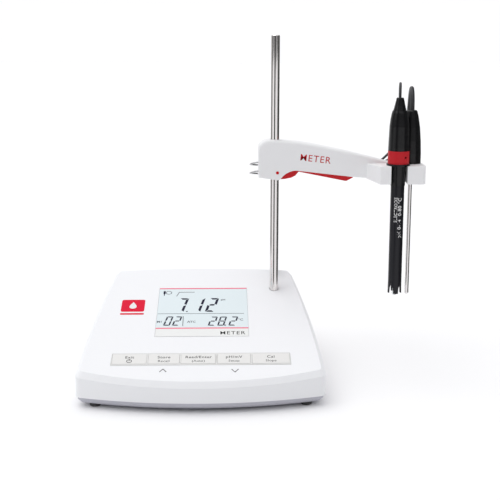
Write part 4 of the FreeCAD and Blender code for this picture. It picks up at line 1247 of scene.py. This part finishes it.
# ---------------------------------------------------------------- housing
@dataclass
class Housing:
    """The sloping case with its emblem, feet and inner parts."""

    middle: float = -51.8
    front: float = -88.0
    front_z: float = 28.1
    slope: float = math.radians(16.672)
    emblem_at: Flat = (-67.6, 113.6)
    emblem: Flat = (22.6, 25.6)

    def on_slope(self, mesh: bpy.types.Mesh, lift: float = 0.02) -> bpy.types.Mesh:
        """Lay a flat mesh on the top face: X is across, Y is up the slope.

        Args:
            mesh: the mesh, in metres.
            lift: how far it stands out of the face, in millimetres.

        Returns:
            The same mesh, in place.
        """
        place = Matrix.Translation(Vector((self.middle, self.front, self.front_z)) * MM)
        mesh.transform(place @ Matrix.Rotation(self.slope, 4, "X")
                       @ Matrix.Translation((0.0, 0.0, lift * MM)))
        return mesh

    def print_flat(self, name: str, outlines: Sequence[Sequence[Flat]], finish: Finish,
                   lift: float = INK_MM) -> None:
        """Print flat shapes on the top face as one piece.

        Args:
            name: the piece's name.
            outlines: corners of each shape, in millimetres on the slope.
            finish: its ink.
            lift: how far it stands out of the face, in millimetres.
        """
        piece(name, self.on_slope(plates(name, outlines, INK_MM), lift), finish, "meter")

    def emblem_pieces(self) -> None:
        """A plain red tile with a pale drop and a red bar under it."""
        x, y = self.emblem_at
        w, h = self.emblem
        left, right, low = x - w / 2, x + w / 2, y - h / 2
        tile = plates("emblem_tile", [rounded(left, low + 5, right, y + h / 2, 2.2)], EMBLEM_MM)
        bar = plates("emblem_bar", [rounded(left, low, right, low + 2.6, 0.6)], EMBLEM_MM)
        both = merged("emblem_tile", [tile, bar])
        piece("emblem_tile", self.on_slope(both), Finish.PRINT_RED, "meter")
        drop = []
        for i in range(33):
            a = 2 * math.pi * i / 32
            pinch = 0.5 * (1 + math.cos(a - math.pi / 2)) ** 1.6 * 0.55
            drop.append((x + 4.3 * math.cos(a) * (1 - pinch),
                         y + 2.0 + 4.6 * math.sin(a) + 2.4 * pinch))
        pale = self.on_slope(plates("emblem_drop", [drop[:-1]], EMBLEM_MM), 2 * EMBLEM_MM)
        piece("emblem_drop", pale, Finish.PRINT_WHITE, "meter")

    def build(self) -> None:
        """Dress the case."""
        dress_all(top_cover=Finish.HOUSING, bottom_cover=Finish.BASE, cover_screws=Finish.TIN,
                  small_screws=Finish.TIN, rubber_feet=Finish.RUBBER, main_board=Finish.BOARD,
                  board_chips=Finish.DARK, input_shield=Finish.TIN, rod_socket=Finish.TIN)
        self.emblem_pieces()


# ---------------------------------------------------------------- display
class Bar(Enum):
    """The seven bars of a digit."""

    TOP = "a"
    UPPER_RIGHT = "b"
    LOWER_RIGHT = "c"
    BOTTOM = "d"
    LOWER_LEFT = "e"
    UPPER_LEFT = "f"
    MIDDLE = "g"


DIGITS = {"0": "abcdef", "1": "bc", "2": "abged", "7": "abc", "8": "abcdefg"}


@dataclass
class Reading:
    """One slanted seven-bar number on the display, in millimetres on the slope."""

    figures: str
    left: float
    low: float
    high: float
    wide: float
    pitch: float
    thick: float
    slant: float = 0.21
    dot: float = 1.5

    def bar(self, which: Bar) -> list[Flat]:
        """Outline of one bar, upright, from the digit's lower left corner."""
        w, h, t = self.wide, self.high, self.thick
        gap = t * 0.16
        half = h / 2
        if which in (Bar.TOP, Bar.MIDDLE, Bar.BOTTOM):
            y = {Bar.TOP: h, Bar.MIDDLE: half, Bar.BOTTOM: 0.0}[which]
            inner = {Bar.TOP: -t, Bar.MIDDLE: 0.0, Bar.BOTTOM: t}[which]
            if which is Bar.MIDDLE:
                return [(gap + t * 0.5, y), (gap + t, y - t / 2), (w - gap - t, y - t / 2),
                        (w - gap - t * 0.5, y), (w - gap - t, y + t / 2), (gap + t, y + t / 2)]
            return [(gap * 1.5, y), (w - gap * 1.5, y), (w - t - gap, y + inner),
                    (t + gap, y + inner)]
        right = which in (Bar.UPPER_RIGHT, Bar.LOWER_RIGHT)
        upper = which in (Bar.UPPER_RIGHT, Bar.UPPER_LEFT)
        outer = w if right else 0.0
        inner = w - t if right else t
        if upper:
            low, top = half, h
            return [(outer, low + gap), (outer, top - gap), (inner, top - t - gap),
                    (inner, low + t / 2 + gap)]
        low, top = 0.0, half
        return [(outer, low + gap), (outer, top - gap), (inner, top - t / 2 - gap),
                (inner, low + t + gap)]

    def outlines(self) -> list[list[Flat]]:
        """Outlines of every lit bar and dot, slanted and in place."""
        made = []
        x = self.left
        for figure in self.figures:
            if figure == ".":
                size = self.dot
                made.append([(x - size * 1.3, self.low), (x - size * 0.3, self.low),
                             (x - size * 0.3 + 0.2, self.low + size),
                             (x - size * 1.3 + 0.2, self.low + size)])
                x += self.pitch * 0.2
                continue
            for which in Bar:
                if which.value in DIGITS[figure]:
                    made.append([(x + u + v * self.slant, self.low + v) for u, v in self.bar(which)])
            x += self.pitch
        return made


@dataclass
class Display:
    """Liquid crystal display, bonded under its window."""

    housing: Housing
    half: float = 43.4
    low: float = 65.0
    high: float = 147.0
    depth: float = 0.02
    main: Reading = field(
        default_factory=lambda: Reading("7.12", -27.4, 105.0, 23.6, 9.0, 13.4, 2.5))
    count: Reading = field(
        default_factory=lambda: Reading("02", -36.9, 82.4, 15.0, 6.4, 8.4, 1.5))
    heat: Reading = field(
        default_factory=lambda: Reading("28.2", 5.2, 82.0, 14.8, 6.6, 8.8, 1.5))

    def marks(self) -> list[list[Flat]]:
        """Thin lines and small signs of the display."""
        lines = strip([(-42.5, 102.0), (39.5, 102.0)], 0.6)
        lines += strip([(-18.2, 82.0), (-18.2, 97.4)], 0.6)
        lines += strip([(-26.0, 132.6), (-23.6, 139.4), (-8.9, 139.4)], 0.7)
        lines += strip(ring_outline(-34.0, 138.6, 5.6, 5.2, 20), 0.6)
        return lines

    def build(self) -> None:
        """Dress the window and the cell, and draw what the display shows."""
        dress_all(display_window=Finish.WINDOW, lcd_panel=Finish.CELL, lcd_light=Finish.LIGHT,
                  lcd_bracket=Finish.DARK)
        lay = self.housing.on_slope
        left = -self.half
        right = self.half
        cell = [[(left, 78.4), (right, 78.4), (right, 146.6), (left, 146.6)]]
        show = self.housing.print_flat
        # This flat cell plate on the top face takes the cell finish, with its painted glow.
        show("display_cell", cell, Finish.CELL, self.depth - INK_MM)
        outlines = self.main.outlines() + self.count.outlines() + self.heat.outlines()
        outlines.append([(-38.7, 133.4), (-37.9, 133.4), (-37.9, 136.4), (-37.3, 136.4),
                         (-37.3, 141.6), (-39.3, 141.6), (-39.3, 136.4), (-38.7, 136.4)])
        show("display_figures", outlines, Finish.LCD_INK, self.depth + INK_MM)
        show("display_lines", self.marks(), Finish.LCD_FAINT, self.depth + INK_MM)
        small = [letters("pH", 2.6, (17.6, 124.6), Align.LEFT, 0.1),
                 letters("ATC", 2.9, (-14.2, 87.2), Align.LEFT, 0.08),
                 letters("°C", 3.2, (34.0, 90.2), Align.LEFT, 0.08),
                 letters("M1", 2.9, (-43.0, 87.4), Align.LEFT, 0.1)]
        signs = lay(merged("signs", small), self.depth + 2 * INK_MM)
        piece("display_signs", signs, Finish.LCD_FAINT, "meter")
        rules = [[(left, v - 0.85), (right, v - 0.85), (right, v + 0.85), (left, v + 0.85)]
                 for v in (78.2, 146.1)]
        show("window_rules", rules, Finish.PRINT_ROSE, self.depth + INK_MM)
        band = [[(left, self.low + 0.2), (right, self.low + 0.2), (right, 77.4), (left, 77.4)]]
        show("window_band", band, Finish.PRINT_PALE, self.depth)
        name = letters("METER", 5.2, (40.4, 68.0), Align.RIGHT, 0.02, 0.0, 1.15)
        piece("window_words", lay(name, self.depth + 2 * INK_MM), Finish.PRINT, "meter")


# ---------------------------------------------------------------- keypad
@dataclass
class Key:
    """One key with its two printed lines."""

    body: str
    node: str
    middle: float
    upper: str
    lower: str


@dataclass
class Keypad:
    """The key strip in front of the display."""

    housing: Housing
    low: float = 22.6
    high: float = 39.4
    half: float = 79.6
    proud: float = 0.45
    widths: tuple[float, ...] = (32.0, 29.2, 32.2, 31.0, 34.8)

    def keys(self) -> list[Key]:
        """The five keys from left to right."""
        rows = (("exit_key", "key_exit", "Exit", ""), ("store_key", "key_store", "Store", "Recall"),
                ("read_key", "key_read", "Read/Enter", "(Auto)"),
                ("setup_key", "key_setup", "pH/mV", "Setup"),
                ("cal_key", "key_cal", "Cal", "Slope"))
        left = -sum(self.widths) / 2
        made = []
        for width, (body, node, upper, lower) in zip(self.widths, rows):
            made.append(Key(body, node, left + width / 2, upper, lower))
            left += width
        return made

    def power_sign(self, x: float, y: float) -> bpy.types.Mesh:
        """A broken ring with an upright stroke."""
        ring = ring_outline(x, y, 4.2, 4.2, 24)
        arc = [ring[(i + 7) % 24] for i in range(23)]
        return plates("power", strip(arc, 0.6) + strip([(x, y + 0.4), (x, y + 2.5)], 0.6), 0.02)

    def build(self) -> None:
        """Dress the keys and print their words."""
        lay = self.housing.on_slope
        dress("key_frame", Finish.KEY_FRAME)
        dress("key_switches", Finish.DARK)
        dress("key_board", Finish.BOARD)
        middle = (self.low + self.high) / 2
        for key in self.keys():
            dress(key.node, Finish.KEY)
            words = letters(key.upper, 3.5, (key.middle, middle + 0.9), heavy=0.03, spread=1.08)
            piece(key.node + "_words", lay(words, self.proud + INK_MM), Finish.PRINT, key.body)
            if key.lower:
                under = letters(key.lower, 3.0, (key.middle, middle - 4.4), heavy=0.02, spread=1.06)
            else:
                under = self.power_sign(key.middle, middle - 2.9)
            piece(key.node + "_sign", lay(under, self.proud + INK_MM), Finish.PRINT_SOFT, key.body)
        rim = rounded(-self.half, self.low, self.half, self.high, 0.9)
        edge = strip(rim + rim[:1], 0.32)
        self.housing.print_flat("keypad_rim", edge, Finish.BORDER, KEY_MARK_LIFT)
        ticks = []
        for left, right in zip(self.keys(), self.keys()[1:]):
            x = (left.middle + right.middle) / 2
            ticks += strip([(x, middle - 4.5), (x, middle + 4.5)], 0.35)
        self.housing.print_flat("keypad_ticks", ticks, Finish.BORDER, KEY_MARK_LIFT)
        arrows = strip([(-35.8, 13.4), (-33.0, 17.2), (-30.2, 13.4)], 0.75)
        arrows += strip([(27.2, 16.2), (30.0, 12.4), (32.8, 16.2)], 0.75)
        self.housing.print_flat("keypad_arrows", arrows, Finish.PRINT_SOFT)


# ---------------------------------------------------------------- rod, arm and lever
@dataclass
class Arm:
    """Rod, electrode arm and squeeze lever."""

    face_y: float = 41.75
    words: str = "METER"

    def build(self) -> None:
        """Dress the arm and print its words."""
        dress_all(support_rod=Finish.STEEL, arm_shell=Finish.ARM, rod_bush=Finish.KEY,
                  pivot_pins=Finish.RED, release_lever=Finish.RED, brake_pad=Finish.RUBBER,
                  lever_spring=Finish.TIN, cable_guides=Finish.TIN, cable_clip=Finish.DARK)
        mesh = letters(self.words, 6.6, (0.0, 0.0), Align.CENTRE, 0.02, 0.0, 1.15)
        tilt = Matrix.Rotation(math.radians(6.5), 4, "Y")
        mesh.transform(Matrix.Translation(Vector((57.5, self.face_y - 0.04, 199.4)) * MM) @ tilt
                       @ Matrix.Rotation(math.radians(90), 4, "X"))
        piece("arm_words", mesh, Finish.ARM_RED, "arm")


# ---------------------------------------------------------------- electrode and probe
@dataclass
class Electrode:
    """pH electrode with its guard, cap and refill sleeve."""

    axis: Flat = (136.0, 28.75)
    radius: float = 6.5

    def words(self) -> None:
        """Print two lines of plain data up the barrel."""
        axis = (self.axis[0] * MM, self.axis[1] * MM)
        for name, words, size, low, facing in (
                ("barrel_words", "pH 0-14  0-80 °C", 3.6, 128.0, -78.0),
                ("barrel_data", "ELECTRODE", 3.0, 143.0, -112.0)):
            mesh = letters(words, size, (0.0, -size / 2), Align.LEFT, 0.05, 0.0, 1.1)
            wrapped(mesh, axis, (self.radius + 0.03) * MM, low * MM, math.radians(facing))
            piece(name, mesh, Finish.PRINT_WHITE, "arm")

    def build(self) -> None:
        """Dress the electrode and add its grip rings."""
        dress_all(electrode_barrel=Finish.BARREL, electrode_cap=Finish.BLACK,
                  electrode_collar=Finish.BLACK, electrode_guard=Finish.BARREL,
                  electrode_strain_relief=Finish.BLACK, glass_bulb=Finish.GLASS,
                  reference_junction=Finish.KEY, refill_sleeve=Finish.RED_SATIN)
        self.words()
        x, y = self.axis
        rings = RibRow(Finish.BLACK).build("relief_rings", Count=5, Pitch=0.0021, Radius=0.0056,
                                           Wire=0.00045, Taper=0.105)
        rings.transform(Matrix.Translation(Vector((x, y, 251.8)) * MM))
        piece("relief_rings", rings, Finish.BLACK, "arm", True)


@dataclass
class Probe:
    """Temperature probe."""

    axis: Flat = (151.0, 43.75)

    def build(self) -> None:
        """Dress the probe."""
        dress_all(probe_cap=Finish.BLACK, probe_tube=Finish.STEEL,
                  temperature_sensor=Finish.DARK)


# ---------------------------------------------------------------- back of the housing
@dataclass
class Back:
    """Sockets and plugs at the back."""

    panel_y: float = 77.4
    socket_z: float = 34.0
    ph_x: float = -36.8
    temp_x: float = 0.2

    def label(self, words: str, x: float, z: float) -> bpy.types.Mesh:
        """One printed label that reads from behind."""
        mesh = letters(words, 2.6, (0.0, 0.0), Align.CENTRE, 0.08)
        mesh.transform(Matrix.Translation(Vector((x, self.panel_y + 0.03, z)) * MM)
                       @ Matrix.Rotation(math.pi, 4, "Z") @ Matrix.Rotation(math.pi / 2, 4, "X"))
        return mesh

    def build(self) -> None:
        """Dress the sockets and add grips, ribs, contacts and labels."""
        dress_all(rear_panel=Finish.DARK, ph_socket=Finish.NICKEL, temp_socket=Finish.NICKEL,
                  reference_socket=Finish.GOLD, serial_port=Finish.TIN, power_inlet=Finish.DARK,
                  ph_plug=Finish.BLACK, temp_plug=Finish.BLACK, coil_ties=Finish.TIE)
        words = [self.label(text, x, 43.5) for text, x in (("pH", self.ph_x), ("ATC", self.temp_x),
                 ("REF", -57.8), ("RS232", -83.8), ("DC IN", -108.8))]
        piece("panel_words", merged("panel_words", words), Finish.PRINT_WHITE, "meter")
        for name, node in (("ph_grip", "ph_plug"), ("temp_grip", "temp_plug")):
            low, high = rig.box(node)
            middle = (low + high) / 2
            radius = (high.x - low.x) / 2
            bars = BarRing(Finish.BLACK).build(name, Count=28, Radius=radius - 0.0001,
                                               Bar=(0.0007, 0.0007, 0.0105))
            bars.transform(Matrix.Translation((middle.x, low.y + 0.0072, middle.z))
                           @ Matrix.Rotation(math.pi / 2, 4, "X"))
            piece(name, bars, Finish.BLACK, "meter")
            rib_radius = 0.0024 if node == "ph_plug" else 0.0034
            ribs = RibRow(Finish.BLACK).build(name + "_ribs", Count=5, Pitch=0.0022,
                                              Radius=rib_radius, Wire=0.0005, Taper=0.03)
            ribs.transform(Matrix.Translation((middle.x, high.y - 0.0012, middle.z))
                           @ Matrix.Rotation(math.pi / 2, 4, "X"))
            piece(name + "_ribs", ribs, Finish.BLACK, "meter", True)
        rows = []
        for count, lift in ((5, 1.4), (4, -1.4)):
            row = PinRow(Finish.GOLD).build("contacts", Count=count, Pitch=0.00277, Radius=0.00045,
                                            Length=0.0028)
            start = Vector((-83.8 - 2.77 * (count - 1) / 2, self.panel_y + 3.5,
                            self.socket_z + lift))
            row.transform(Matrix.Translation(start * MM) @ Matrix.Rotation(math.pi / 2, 4, "X"))
            rows.append(row)
        made = merged("serial_contacts", rows)
        piece("serial_contacts", made, Finish.GOLD, "meter", True)


def main() -> None:
    """Build everything in order."""
    logging.basicConfig(level=logging.WARNING, format="%(name)s: %(message)s")
    Studio().build()
    for cable in make_cables():
        cable.build()
    housing = Housing()
    housing.build()
    Display(housing).build()
    Keypad(housing).build()
    Arm().build()
    Electrode().build()
    Probe().build()
    Back().build()
    with open("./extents.json", "w") as sizes:
        json.dump({"cad": [list(corner) for corner in CAD_BOX],
                   "visual": [list(corner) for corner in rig.bounds()]}, sizes)
    LOG.info("all pieces built")


if __name__ == "__main__":
    main()
